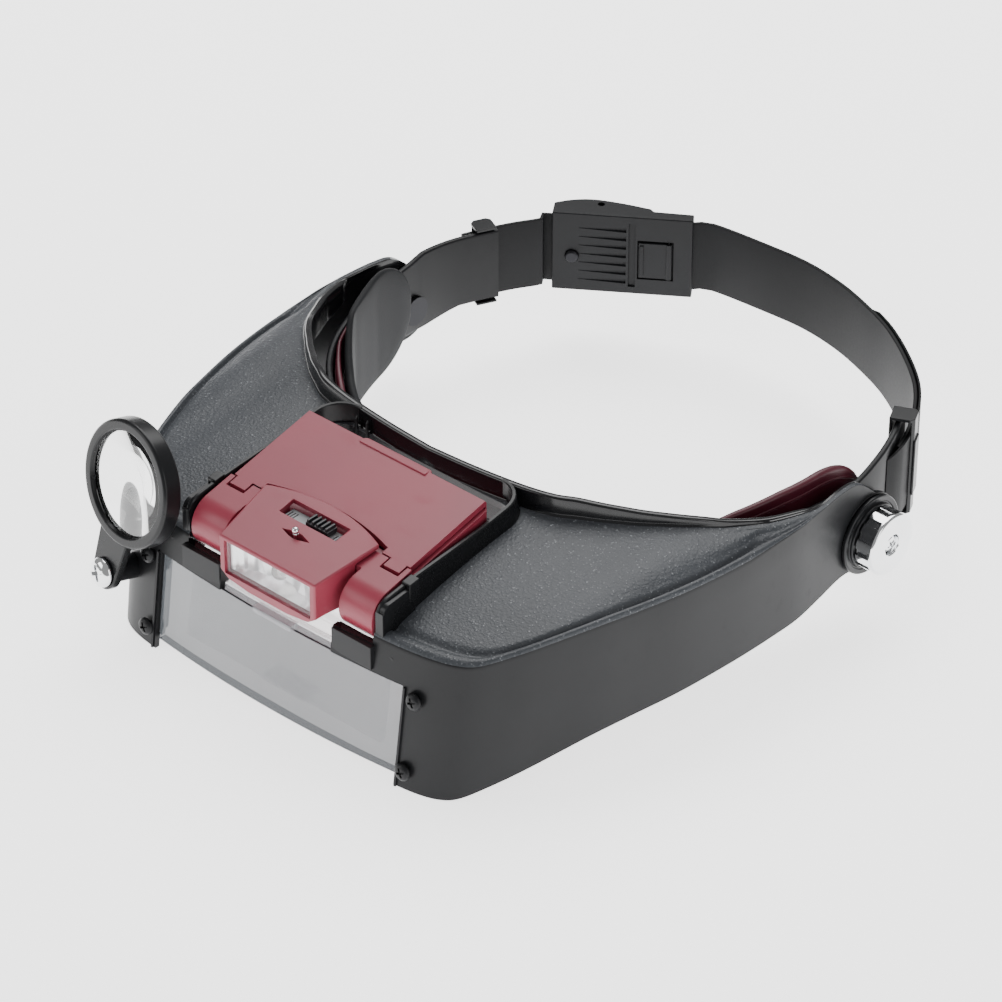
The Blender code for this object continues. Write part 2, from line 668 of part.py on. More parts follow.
def knob(name, side):
    """A lobed thumb knob with a recess for its screw and a through hole for the bolt."""
    lobes, lobe_turn, notch_turn, notch_depth = 12, 21, 6, 1.0
    rear, face = KNOB_X
    outline = []
    for k in range(lobes):
        start = 360 * k / lobes
        notch = start + lobe_turn + 1.5
        outline += arc(TILT_AXIS, KNOB_R, start, start + lobe_turn, 3)
        outline += arc(TILT_AXIS, KNOB_R - notch_depth, notch, notch + notch_turn, 1)
    low, high = sorted((side * rear, side * (face - 0.8)))
    body = prism(name, outline, low, high, "x", SILVER)
    profile = [(0, rear), (KNOB_R - 1.1, rear), (KNOB_R - 0.4, face - 0.9), (KNOB_R - 0.9, face), (0, face)]
    join(body, turned("face", profile, (0, *TILT_AXIS), (side, 0, 0), 36))
    cut(body, cylinder("recess", (0, *TILT_AXIS), (side, 0, 0), 2.9, face - 2.2, face + 4, 20))
    cut(body, cylinder("bore", (0, *TILT_AXIS), (side, 0, 0), 2.3, rear - 10, face + 4, 16))
    return pivot(body, (side * rear, *TILT_AXIS))


def knob_screw(name, side):
    profile = [(0, 93.2), (1.2, 93.2), (1.2, 94.3), (2.55, 94.3), (2.55, 95.0), (1.6, 95.7), (0, 95.7)]
    screw = turned(name, profile, (0, *TILT_AXIS), (side, 0, 0), 16, SILVER)
    return pivot(screw, (side * KNOB_X[0], *TILT_AXIS))


def boss_rings(name, side):
    """The stepped rings between the visor's side and the knob."""
    profile = [(2.9, 87.85), (11.8, 87.85), (11.8, 88.7), (11.0, 89.1), (9.6, 89.1), (9.6, 89.85), (2.9, 89.85)]
    return turned(name, profile, (0, *TILT_AXIS), (side, 0, 0), 28, BLACK)


def friction_washer(name, side):
    profile = [(2.9, 84.8), (8.0, 84.8), (8.0, 85.1), (2.9, 85.1)]
    return turned(name, profile, (0, *TILT_AXIS), (side, 0, 0), 20, STEEL)


def clamp_bolt(name, side):
    profile = [(0, 80.9), (4.6, 80.9), (4.6, 81.95), (1.95, 81.95), (1.95, 92.8), (0, 92.8)]
    return turned(name, profile, (0, *TILT_AXIS), (side, 0, 0), 16, STEEL)


# ---------------------------------------------------------------- headband

# Half of the headband's middle line, from the middle of the forehead to the end of one arm: x, y.
BAND_LINE = [(0, 69.5), (14, 69.8), (28, 71.2), (41, 74.2), (51, 79), (60, 85.6), (67.6, 93.6),
             (73.6, 103), (78.2, 114), (81.6, 126), (83.2, 138), (83.3, 149), (81.8, 158.5), (78.6, 167),
             (75.6, 173.2)]
BAND_Z = (15.0, 38.0)
# The pads, by place along the band: distance behind y = 60, counted negative on the wearer's right.
# Columns: place, offset of the middle from the band's line, half thickness, low edge, high edge.
SHELL_ROWS = [(-80, 2.0, 0.5, 14, 39), (-38, 2.0, 0.5, 14, 39), (-25, 3.2, 1.0, 13, 35), (0, 3.3, 1.1, 12.5, 34.5),
              (25, 3.3, 1.1, 12.5, 36), (44, 3.3, 1.1, 12.5, 42), (58, 3.4, 1.1, 12.5, 44.3),
              (72, 4.6, 1.1, 12.5, 44.5), (95, 4.6, 1.1, 12.5, 44.5)]
CUSHION_ROWS = [(-85, 3.9, 1.1, 11.8, 47.5), (-60, 3.9, 1.1, 11.8, 47.5), (-43, 4.2, 1.2, 11.8, 46),
                (-28, 6.0, 1.6, 12, 36), (-10, 6.7, 1.8, 12, 34), (30, 6.7, 1.8, 12, 34), (56, 6.8, 1.8, 13, 38),
                (72, 8.0, 1.8, 14, 39), (95, 8.0, 1.8, 14, 39)]
SHELL_ENDS = (152.5, 137.5)
CUSHION_ENDS = (150.0, 141.5)
ARM_HEIGHT = [(140, 38.0), (150, 40.5), (160, 43.0), (175, 43.6)]
# Rear straps: from the wearer's left keeper to the buckle, and from the buckle to the right keeper.
LEFT_STRAP = [(82.6, 162.5), (79.6, 170.5), (74, 180.8), (66.4, 190.6), (55.4, 200), (43, 208.3), (31, 213.8),
              (18, 218.2), (4, 220.6), (-10, 220.4)]
RIGHT_STRAP = [(-70.6, 187), (-74.6, 180.2), (-78.2, 173), (-81.8, 164.5)]


def plan_smooth(points, step):
    return [(p.x, p.y) for p in smooth([Vector((*q, 0)) for q in points], step)]


def band_line(step=6.0):
    """The headband's middle line in plan, from the left arm's end round the forehead to the right's."""
    return both_sides(plan_smooth(BAND_LINE, step))


def row_at(rows, place, column):
    return value_at([(row[0], row[column]) for row in rows], place)


def forehead_band():
    """The band across the forehead with its two arms, which rise to the keepers."""
    path = band_line()
    band = strip("forehead_band", path, -1.0, 0.9, BAND_Z[0], lambda i: value_at(ARM_HEIGHT, path[i][1]))
    for side in (1, -1):
        cut(band, cylinder("bolt_hole", (0, *TILT_AXIS), (side, 0, 0), 2.4, 75, 95, 16))
    return band


def pad_piece(name, rows, ends, finish):
    """A pad along the inside of the band, closed at each end by a half ellipse."""
    line = band_line()
    placed = [(Vector(p), n, (p[1] - 60) * math.copysign(1, p[0])) for p, n in zip(line, outward(line))]
    placed = [(p, n, k) for p, n, k in placed if p.y <= (ends[0] if p.x > 0 else ends[1])]
    path = [tuple(p - n * row_at(rows, k, 1)) for p, n, k in placed]
    share = round_ends(path, 17.0)
    half = [row_at(rows, k, 2) for p, n, k in placed]
    low = [row_at(rows, k, 3) for p, n, k in placed]
    high = [row_at(rows, k, 4) for p, n, k in placed]
    rings = []
    for i, (p, n) in enumerate(zip(path, outward(path))):
        middle = (low[i] + high[i]) / 2
        reach = (high[i] - low[i]) / 2 * share(i)
        corners = ((half[i], -reach), (half[i], reach), (-half[i], reach), (-half[i], -reach))
        rings.append([(p[0] + n.x * o, p[1] + n.y * o, middle + z) for o, z in corners])
    return loft(name, rings, finish)


def cushion():
    return pad_piece("forehead_cushion", CUSHION_ROWS, CUSHION_ENDS, PAD_GREY)


def pad_shell():
    return pad_piece("forehead_pad_shell", SHELL_ROWS, SHELL_ENDS, MAROON)


def strap(name, points, inner=-0.6, outer=0.6):
    return strip(name, plan_smooth(points, 6.0), inner, outer, *STRAP_Z, BLACK)


def keeper(name, side):
    """The loop that holds the end of an arm to its strap; the right one is open on the inside."""
    centre = Vector((side * 78.35, 170.3, 0))
    along = Vector((side * -0.43, 0.903, 0)).normalized()
    across = Vector((along.y, -along.x, 0)) * side
    rings = []
    for z in (13.9, 45.2):
        ring = []
        for u, v in ((-3.2, -3.6), (3.2, -3.6), (3.2, 3.6), (-3.2, 3.6)):
            p = centre + across * v + along * u
            ring.append((p.x, p.y, z))
        rings.append(ring)
    loop = loft(name, rings)
    rings = []
    for z in (14.6, 44.3):
        ring = []
        for u, v in ((-5, -2.7), (5, -2.7), (5, 2.7), (-5, 2.7)):
            p = centre + across * v + along * u
            ring.append((p.x, p.y, z))
        rings.append(ring)
    cut(loop, loft("inside", rings))
    if side < 0:
        mouth = []
        for z in (19.5, 38.5):
            corners = ((-5, -5), (5, -5), (5, -2.0), (-5, -2.0))
            mouth.append([(*(centre + across * v + along * u).to_2d(), z) for u, v in corners])
        cut(loop, loft("mouth", mouth))
    return loop


# ---------------------------------------------------------------- buckle

def buckle_point(along, out, z):
    """A point in the buckle's frame: along the strap towards the left, out from the head, and up."""
    c = math.cos(BUCKLE_ANGLE)
    s = math.sin(BUCKLE_ANGLE)
    return (BUCKLE_AT.x + along * c - out * s, BUCKLE_AT.y + along * s + out * c, z)


def buckle_out():
    """The direction out from the head through the buckle."""
    return (-math.sin(BUCKLE_ANGLE), math.cos(BUCKLE_ANGLE), 0)


def buckle_prism(name, outline, low, high, finish=BLACK):
    return loft(name, [[buckle_point(u, v, z) for u, v in outline] for z in (low, high)], finish)


def buckle_box(name, low, high, finish=BLACK):
    outline = [(low[0], low[1]), (high[0], low[1]), (high[0], high[1]), (low[0], high[1])]
    return buckle_prism(name, outline, low[2], high[2], finish)


def buckle_body():
    outline = [(0, 0), (42, 0), (42, 3.9), (30.5, 4.3), (29, 5.7), (20, 8.0), (11.5, 9.2), (5, 8.2), (0, 6.0)]
    body = buckle_prism("buckle_body", outline, *BUCKLE_Z)
    cut(body, buckle_box("channel", (-2, 1.25, 16.5), (44, 3.15, 40.5)))
    cut(body, buckle_box("window", (25.6, -2, 20.5), (36.4, 1.7, 33.9)))
    return body


def buckle_latch():
    """The release tongue in the window, hinged at its far end."""
    latch = buckle_box("buckle_latch", (26.0, -0.3, 21.2), (34.4, 0.7, 33.2))
    join(latch, buckle_box("catch", (26.4, 0.5, 24.6), (28.4, 1.25, 29.8)))
    x, y, _ = buckle_point(LATCH_PIN_ALONG, 0.2, 0)
    join(latch, cylinder("barrel", (x, y, 0), (0, 0, 1), 1.0, 21.2, 33.2, 12))
    cut(latch, cylinder("bore", (x, y, 0), (0, 0, 1), 0.62, 10, 40, 12))
    return pivot(latch, (x, y, BUCKLE_MIDDLE))


def latch_pin():
    """The pin through the tongue, held in holes above and below the window."""
    x, y, _ = buckle_point(LATCH_PIN_ALONG, 0.2, 0)
    return cylinder("latch_pin", (x, y, 0), (0, 0, 1), 0.25, 20.85, 33.55, 8, STEEL)


def strap_rivet():
    profile = [(0, -0.9), (2.2, -0.9), (2.2, -0.35), (1.2, -0.35), (1.2, 4.4), (0, 4.4)]
    return turned("strap_rivet", profile, buckle_point(RIVET_ALONG, 0, BUCKLE_MIDDLE), buckle_out(), 14, STEEL)


def rivet_hole():
    return cylinder("hole", buckle_point(RIVET_ALONG, 0, BUCKLE_MIDDLE), buckle_out(), 1.55, -1.0, 4.8, 12)


def headband():
    forehead_band()
    pad_shell()
    cushion()
    into_buckle = [buckle_point(u, 2.2, 0)[:2] for u in (48, 42, 36, 14)]
    from_buckle = [buckle_point(u, 2.2, 0)[:2] for u in (12, 0.5, -3)]
    strap("strap_left", LEFT_STRAP + into_buckle)
    right = strap("strap_right", from_buckle + RIGHT_STRAP)
    cut(right, rivet_hole())
    cut(buckle_body(), rivet_hole())
    keeper("keeper_left", 1)
    keeper("keeper_right", -1)
    strap_rivet()
    buckle_latch()
    latch_pin()


def build():
    clear_scene()
    visor_shell()
    main_lens()
    flip_lens()
    for word, side in (("left", 1), ("right", -1)):
        lens_clip("lens_clip_" + word, side)
        for place, (x, z) in zip(("upper", "lower"), SCREW_PLACES):
            lens_screw(f"lens_screw_{word}_{place}", side, x, z)
        knob("knob_" + word, side)
        knob_screw("knob_screw_" + word, side)
        boss_rings("boss_rings_" + word, side)
        friction_washer("friction_washer_" + word, side)
        clamp_bolt("clamp_bolt_" + word, side)
    lamp_base()
    lamp_hood()
    reflector()
    bulb()
    bulb_carrier()
    aim_lever()
    window_lens()
    switch_parts()
    battery("battery_front", 29.3)
    battery("battery_rear", 40.4)
    contact_plate("contact_plate_left", 1)
    contact_plate("contact_plate_right", -1)
    contact_spring("contact_spring_front", 29.3)
    contact_spring("contact_spring_rear", 40.4)
    battery_cover()
    loupe_parts()
    headband()
    frame = bpy.data.objects.new("visor_frame", None)
    bpy.context.scene.collection.objects.link(frame)
    frame.location = Vector(FRAME_SHIFT) * MM
    for obj in list(bpy.data.objects):
        if obj is not frame:
            obj.parent = frame


build()
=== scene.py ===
"""Looks of the head visor magnifier, built around its fixed frame.

Shapes are given in millimetres in the visor's own frame: x to the wearer's left, -y forward, z up, with
zero at the middle of the main lens's lower edge. ORIGIN, taken from the frame, puts them in place.
"""
import math

import bmesh
import bpy
from mathutils import Matrix, Vector


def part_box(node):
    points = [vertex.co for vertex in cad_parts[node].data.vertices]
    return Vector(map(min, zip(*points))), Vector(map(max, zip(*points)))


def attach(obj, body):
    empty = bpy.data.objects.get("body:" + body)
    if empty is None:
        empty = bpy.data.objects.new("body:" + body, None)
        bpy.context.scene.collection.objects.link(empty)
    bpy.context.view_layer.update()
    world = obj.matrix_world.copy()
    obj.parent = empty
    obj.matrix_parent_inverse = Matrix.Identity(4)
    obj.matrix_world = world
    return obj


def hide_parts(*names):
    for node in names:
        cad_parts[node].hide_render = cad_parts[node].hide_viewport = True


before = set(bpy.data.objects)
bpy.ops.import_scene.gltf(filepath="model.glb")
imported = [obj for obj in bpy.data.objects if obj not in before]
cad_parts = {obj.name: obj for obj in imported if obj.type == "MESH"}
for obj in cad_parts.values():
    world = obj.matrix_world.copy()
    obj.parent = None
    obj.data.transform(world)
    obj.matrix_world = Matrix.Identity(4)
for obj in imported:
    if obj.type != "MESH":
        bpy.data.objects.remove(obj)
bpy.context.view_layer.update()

MM = 0.001

# Driving dimensions, in millimetres, and angles in radians.
TILT_AXIS = (144.0, 23.0)
WALL = 1.8
FRONT_LEAN = math.radians(8)
LEAN = math.tan(FRONT_LEAN)
FRONT_BULGE = 2.5
LENS_HALF = 44.8
LENS_TOP = 27.3
BAY_HALF = 34.0
BAY_REAR = 61.4
LEDGE_TOP = 35.5
NOTCH_HALF = 20.5
LAMP_HALF = 33.2
LAMP_AXIS = (12.5, 40.4)
BARREL_R = 7.8
COVER_SLOPE = math.tan(math.radians(12))
COVER_FRONT = (20.6, 50.1)
COVER_REAR_Y = 49.6
COVER_THICK = 1.8
TRAY_DEPTH = 14.8
FLIP_AXIS = (10.6, 30.0)
KNOB_R = 9.2
KNOB_X = (90.2, 96.2)
STRAP_Z = (17.0, 40.0)
BUCKLE_AT = Vector((-68.5, 189.5, 0.0))
BUCKLE_ANGLE = math.radians(34.8)
BUCKLE_Z = (15.2, 41.8)
BUCKLE_MIDDLE = 27.2
LOUPE_PIVOT = Vector((-58.5, -3.5, 18.3))
LOUPE_NORMAL = Vector((-0.133, -0.967, 0.219)).normalized()
LOUPE_LEAN = math.radians(-8)
LOUPE_REACH = 29.2
SCREW_PLACES = [(49.3, 24.7), (48.0, 2.9)]
FRONT_NORMAL = Vector((0.0, -math.cos(FRONT_LEAN), math.sin(FRONT_LEAN)))
CROSS_TURN = math.radians(28)

knob_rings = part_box("boss_rings_left")
ORIGIN = Vector((0.0, (knob_rings[0].y + knob_rings[1].y) / 2 - TILT_AXIS[0] * MM,
                 (knob_rings[0].z + knob_rings[1].z) / 2 - TILT_AXIS[1] * MM))


# ---------------------------------------------------------------- shader expressions

class Value:
    """A shader socket that takes part in arithmetic: each operator adds its Math node."""

    def __init__(self, finish, socket):
        self.finish = finish
        self.socket = socket

    def math(self, operation, *values):
        return self.finish.node("Math", {"operation": operation}, dict(enumerate(values)))

    def __add__(self, other):
        return self.math("ADD", self, other)

    def __radd__(self, other):
        return self.math("ADD", other, self)

    def __sub__(self, other):
        return self.math("SUBTRACT", self, other)

    def __rsub__(self, other):
        return self.math("SUBTRACT", other, self)

    def __mul__(self, other):
        return self.math("MULTIPLY", self, other)

    def __rmul__(self, other):
        return self.math("MULTIPLY", other, self)

    def step(self, low, high):
        """0 below low, 1 above high, smooth between them."""
        settings = {"interpolation_type": "SMOOTHSTEP"}
        return self.finish.node("MapRange", settings, {"Value": self, "From Min": low, "From Max": high})


class Finish:
    """A material under construction."""

    def __init__(self, name):
        self.material = bpy.data.materials.new(name)
        self.material.use_nodes = True
        self.tree = self.material.node_tree
        self.shader = self.tree.nodes["Principled BSDF"]
        self.place = self.node("TexCoord", {}, {}, "Object")

    def node(self, kind, settings, values, output=0):
        """One shader node: its settings first, then the values or links of its sockets."""
        made = self.tree.nodes.new("ShaderNode" + kind)
        for name, setting in settings.items():
            setattr(made, name, setting)
        for key, value in values.items():
            self.put(made.inputs[key], value)
        return Value(self, made.outputs[output])

    def put(self, socket, value):
        if isinstance(value, Value):
            self.tree.links.new(value.socket, socket)
        else:
            socket.default_value = value

    def mix(self, share, first, second):
        """A colour between two colours."""
        return self.node("Mix", {"data_type": "RGBA"}, {0: share, 6: first, 7: second}, 2)

    def noise(self, scale, detail=2.0, rough=0.5, place=None):
        values = {"Vector": place or self.place, "Scale": scale, "Detail": detail, "Roughness": rough}
        return self.node("TexNoise", {}, values, "Fac")

    def stretched(self, x, y, z):
        """Object coordinates scaled differently along each axis."""
        return self.node("Mapping", {}, {"Vector": self.place, "Scale": (x, y, z)})

    def bump(self, height, strength, distance):
        return self.node("Bump", {}, {"Height": height, "Strength": strength, "Distance": distance})

    def surface(self, **values):
        """Sets the shader's sockets; an underscore in a name stands for a space."""
        for name, value in values.items():
            self.put(self.shader.inputs[name.replace("_", " ")], value)
        return self.material


def rgb(red, green, blue):
    return (red, green, blue, 1.0)


def shade(tint, share):
    """A colour darkened to a share of its strength."""
    return rgb(*(c * share for c in tint[:3]))


def moulding(name, dark, light, rough, grain=2600, depth=0.00003, strength=0.12, coat=0.0, shine=0.5):
    """Moulded plastic: a slow change of tone, a fine skin and faint handling marks."""
    finish = Finish(name)
    slow = finish.noise(28, 3.0)
    skin = finish.noise(grain, 2.0)
    marks = finish.noise(1.0, 4.0, 0.65, finish.stretched(90, 240, 160)).step(0.52, 0.72)
    colour = finish.mix(slow.step(0.3, 0.7) * 0.75 + skin * 0.25, dark, light)
    gloss = rough + (slow - 0.5) * 0.10 + marks * 0.06
    return finish.surface(Base_Color=colour, Roughness=gloss, Normal=finish.bump(skin, strength, depth),
                          Coat_Weight=coat, Coat_Roughness=0.12, Specular_IOR_Level=shine)


def spark_grain(name):
    """The coarse spark-eroded skin of the visor's top: small blunt grains that glint, their tops also painted
    light grey as painted highlights.
    """
    finish = Finish(name)
    values = {"Vector": finish.place, "Scale": 1250.0}
    grains = finish.node("TexVoronoi", {"feature": "F1"}, values, "Distance")
    lumps = finish.noise(1050, 3.0, 0.6)
    fine = finish.noise(3600, 2.0)
    slow = finish.noise(22, 2.0)
    height = (1 - grains) * 0.45 + lumps * 0.9 + fine * 0.25
    # Painted highlight: the tops of the grains are painted a light grey where light would glint on them; the
    # same mask also makes them a little glossier.
    painted_glint = (lumps * 0.62 + (1 - grains) * 0.38).step(0.58, 0.80)
    base = finish.mix(slow.step(0.3, 0.7), rgb(0.030, 0.034, 0.040), rgb(0.044, 0.049, 0.057))
    colour = finish.mix(painted_glint * 0.75, base, rgb(0.30, 0.315, 0.335))
    return finish.surface(Base_Color=colour, Roughness=0.36 + fine * 0.2 - painted_glint * 0.08,
                          Normal=finish.bump(height, 0.62, 0.00028), Specular_IOR_Level=0.5)


def plated(name, tint, rough, ripple=0.02):
    """Bright plate: a nearly even mirror with faint haze."""
    finish = Finish(name)
    haze = finish.noise(60, 4.0, 0.6)
    colour = finish.mix(haze.step(0.35, 0.7), tint, shade(tint, 0.94))
    return finish.surface(Base_Color=colour, Metallic=1.0, Roughness=rough + haze * 0.06,
                          Normal=finish.bump(finish.noise(900, 2.0), ripple, 0.00002))


def clear(name, tint, see_through, rough, haze=0.1):
    """Thin clear plastic: what lies behind shows through, with a light film and a surface gloss."""
    finish = Finish(name)
    film = finish.noise(16, 2.0)
    cover = 1 - see_through + (film - 0.5) * haze
    return finish.surface(Base_Color=finish.mix(film, tint, shade(tint, 0.9)), Roughness=rough + film * 0.03,
                          Alpha=cover, Specular_IOR_Level=0.8, IOR=1.49)


def glassy(name, tint, rough=0.0):
    """A solid of clear acrylic that bends what is seen through it."""
    finish = Finish(name)
    film = finish.noise(40, 2.0)
    colour = finish.mix(film.step(0.4, 0.8), tint, shade(tint, 0.985))
    return finish.surface(Base_Color=colour, Roughness=rough + film * 0.012, Transmission_Weight=1.0,
                          IOR=1.49)


def ribbed_strap(name):
    """Strap plastic with a very fine upright rib in its skin."""
    finish = Finish(name)
    skin = finish.noise(1900, 3.0)
    slow = finish.noise(18, 2.0)
    fine = finish.noise(1.0, 1.0, 0.4, finish.stretched(2400, 2400, 60))
    colour = finish.mix(slow.step(0.3, 0.7), rgb(0.008, 0.0082, 0.009), rgb(0.013, 0.0134, 0.0146))
    normal = finish.bump(fine * 0.6 + skin * 0.6, 0.22, 0.00006)
    return finish.surface(Base_Color=colour, Roughness=0.46 + skin * 0.12, Normal=normal,
                          Specular_IOR_Level=0.16)


def foam_skin(name):
    """The cushion's soft leatherette skin, with fine pores and broad soft creases."""
    finish = Finish(name)
    pores = finish.node("TexVoronoi", {"feature": "DISTANCE_TO_EDGE"},
                        {"Vector": finish.place, "Scale": 1300.0}, "Distance")
    slow = finish.noise(35, 3.0)
    colour = finish.mix(slow.step(0.3, 0.75), rgb(0.012, 0.0125, 0.014), rgb(0.019, 0.020, 0.022))
    normal = finish.bump(pores.step(0.0, 0.25) + slow * 0.8, 0.25, 0.00007)
    return finish.surface(Base_Color=colour, Roughness=0.56 + slow * 0.12, Normal=normal,
                          Specular_IOR_Level=0.2)


MATERIALS = {
    "satin_black": moulding("satin_black", rgb(0.009, 0.0092, 0.0102), rgb(0.013, 0.0134, 0.0148), 0.36,
                            shine=0.2),
    "grain_black": spark_grain("grain_black"),
    "gloss_black": moulding("gloss_black", rgb(0.006, 0.006, 0.007), rgb(0.010, 0.0105, 0.012), 0.18,
                            strength=0.03, coat=0.15, shine=0.4),
    "rib_black": moulding("rib_black", rgb(0.007, 0.0073, 0.008), rgb(0.011, 0.0115, 0.013), 0.28,
                          strength=0.06, shine=0.28),
    "maroon": moulding("maroon_moulding", rgb(0.250, 0.026, 0.048), rgb(0.310, 0.038, 0.064), 0.36,
                       grain=1700, strength=0.16),
    "pad_maroon": moulding("pad_maroon", rgb(0.070, 0.007, 0.016), rgb(0.100, 0.011, 0.024), 0.42,
                           grain=1500, strength=0.2),
    "slider_black": moulding("slider_black", rgb(0.014, 0.014, 0.016), rgb(0.022, 0.022, 0.025), 0.34),
    "scale_grey": moulding("scale_grey", rgb(0.27, 0.28, 0.29), rgb(0.33, 0.34, 0.35), 0.45),
    "chrome": plated("bright_chrome", rgb(0.90, 0.91, 0.92), 0.05),
    "steel": plated("plain_steel", rgb(0.55, 0.55, 0.56), 0.26, 0.08),
    "mirror": plated("reflector_silver", rgb(0.96, 0.96, 0.97), 0.27, 0.03),
    "black_steel": plated("blackened_steel", rgb(0.030, 0.030, 0.033), 0.38, 0.06),
    "lens_plate": clear("lens_plate", rgb(0.13, 0.145, 0.16), 0.36, 0.10),
    "lens_edge": moulding("lens_edge", rgb(0.035, 0.038, 0.042), rgb(0.060, 0.064, 0.070), 0.12,
                          strength=0.02),
    "lens_clear": clear("flip_lens_clear", rgb(0.45, 0.48, 0.50), 0.90, 0.06, 0.03),
    "lens_lip": clear("lens_lip", rgb(0.62, 0.65, 0.68), 0.68, 0.08),
    "loupe_glass": glassy("loupe_glass", rgb(0.985, 0.99, 0.99)),
    "window_clear": clear("window_clear", rgb(0.85, 0.87, 0.88), 0.90, 0.04, 0.04),
    "bulb_glass": glassy("bulb_glass", rgb(0.97, 0.96, 0.92), 0.02),
    "strap": ribbed_strap("strap_skin"),
    "cushion": foam_skin("cushion_skin"),
    "buckle": moulding("buckle_moulding", rgb(0.009, 0.0092, 0.0104), rgb(0.014, 0.0145, 0.016), 0.42,
                       grain=2000, strength=0.18, shine=0.2),
    "cell": plated("cell_jacket", rgb(0.10, 0.12, 0.15), 0.30),
    "board": moulding("board_green", rgb(0.010, 0.080, 0.030), rgb(0.018, 0.120, 0.045), 0.35),
}
# The shell's own finishes, in the order of its material slots.
SHELL_FINISHES = ("satin_black", "grain_black", "gloss_black")
SATIN, GRAIN, GLOSS = range(3)


# ---------------------------------------------------------------- numbers

def clamp(value):
    return min(1.0, max(0.0, value))


def span(side, near, far):
    """The low and high ends of a stretch of x on one side of the middle plane."""
    return sorted((side * near, side * far))


# ---------------------------------------------------------------- mesh helpers

def mesh_object(name, points, faces, marks=None):
    """A mesh object from points in millimetres. marks gives a material index for each face."""
    mesh = bpy.data.meshes.new(name)
    mesh.from_pydata([Vector(p) * MM for p in points], [], faces)
    # A boolean keeps a face's index only where its slot exists, so every mesh starts with the same slots.
    for word in SHELL_FINISHES:
        mesh.materials.append(MATERIALS[word])
    mesh.polygons.foreach_set("material_index", marks or [SATIN] * len(faces))
    shape = bmesh.new()
    shape.from_mesh(mesh)
    bmesh.ops.remove_doubles(shape, verts=shape.verts, dist=1e-6)
    bmesh.ops.dissolve_degenerate(shape, edges=shape.edges, dist=1e-7)
    bmesh.ops.recalc_face_normals(shape, faces=shape.faces)
    if shape.calc_volume(signed=True) < 0:
        bmesh.ops.reverse_faces(shape, faces=shape.faces)
    shape.to_mesh(mesh)
    shape.free()
    return linked(name, mesh)


def loft(name, rings, marks=None, mark=0):
    """A solid through rings of equal length. marks gives a material index for each stretch of a ring."""
    count = len(rings[0])
    points = [p for ring in rings for p in ring]
    faces = [tuple(range(count)), tuple(len(points) - 1 - i for i in range(count))]
    indices = [mark, mark]
    for r in range(len(rings) - 1):
        for i in range(count):
            a = r * count + i
            b = r * count + (i + 1) % count
            faces.append((a, b, b + count, a + count))
            indices.append(marks[i] if marks else mark)
    return mesh_object(name, points, faces, indices)


def prism(name, outline, low, high, axis="z", mark=0):
    """An outline pushed along an axis: (y, z) along x, (x, z) along y, or (x, y) along z."""
    place = {
        "x": lambda u, v, w: (w, u, v),
        "y": lambda u, v, w: (u, w, v),
        "z": lambda u, v, w: (u, v, w),
    }[axis]
    return loft(name, [[place(u, v, w) for u, v in outline] for w in (low, high)], mark=mark)


def rectangle(low, high):
    return [(low[0], low[1]), (high[0], low[1]), (high[0], high[1]), (low[0], high[1])]


def box(name, low, high):
    return prism(name, rectangle(low, high), low[2], high[2])


def arc(centre, radius, start, end, steps):
    """Points on an arc, in degrees, both ends included."""
    turn = [math.radians(start + (end - start) * i / steps) for i in range(steps + 1)]
    return [(centre[0] + radius * math.cos(t), centre[1] + radius * math.sin(t)) for t in turn]


def frame_of(axis):
    """A rotation whose third column is the axis, with its second column as near to upright as it can be."""
    third = Vector(axis).normalized()
    first = Vector((0, 0, 1)).cross(third)
    if first.length < 1e-6:
        first = Vector((1, 0, 0))
    first.normalize()
    return Matrix((first, third.cross(first), third)).transposed()


def turned(name, profile, centre, axis, steps=48):
    """A body turned about an axis, from a closed run of (radius, height) points."""
    rotation = frame_of(axis)
    points = []
    faces = []
    count = len(profile)
    for s in range(steps):
        t = 2 * math.pi * s / steps
        for radius, height in profile:
            place = Vector((radius * math.cos(t), radius * math.sin(t), height))
            points.append(Vector(centre) + rotation @ place)
    for s in range(steps):
        n = (s + 1) % steps
        for i in range(count):
            j = (i + 1) % count
            if profile[i][0] < 1e-6 and profile[j][0] < 1e-6:
                continue
            faces.append((s * count + i, n * count + i, n * count + j, s * count + j))
    return mesh_object(name, points, faces)


def cylinder(name, centre, axis, radius, low, high, steps=40):
    return turned(name, [(0, low), (radius, low), (radius, high), (0, high)], centre, axis, steps)


def applied(obj):
    """Turns the object's live modifiers into a plain mesh."""
    bpy.context.view_layer.update()
    graph = bpy.context.evaluated_depsgraph_get()
    made = bpy.data.meshes.new_from_object(obj.evaluated_get(graph))
    obj.modifiers.clear()
    obj.data = made
    return obj


def cut(obj, other, operation="DIFFERENCE"):
    """Takes another solid away from a piece, or joins it on with UNION. The other solid is used up."""
    modifier = obj.modifiers.new("cut", "BOOLEAN")
    modifier.operation = operation
    modifier.object = other
    applied(obj)
    bpy.data.objects.remove(other)
    return obj


def linked(name, data):
    """A new object in the scene."""
    obj = bpy.data.objects.new(name, data)
    bpy.context.scene.collection.objects.link(obj)
    return obj


def gather(name, objects):
    """Several closed bodies as one mesh object."""
    shape = bmesh.new()
    for obj in objects:
        shape.from_mesh(obj.data)
        bpy.data.objects.remove(obj)
    mesh = bpy.data.meshes.new(name)
    shape.to_mesh(mesh)
    shape.free()
    return linked(name, mesh)


def bevelled(obj, width, segments=2, angle=30):
    modifier = obj.modifiers.new("round", "BEVEL")
    modifier.width = width * MM
    modifier.segments = segments
    modifier.limit_method = "ANGLE"
    modifier.angle_limit = math.radians(angle)
    modifier.miter_outer = "MITER_ARC"
    return applied(obj)


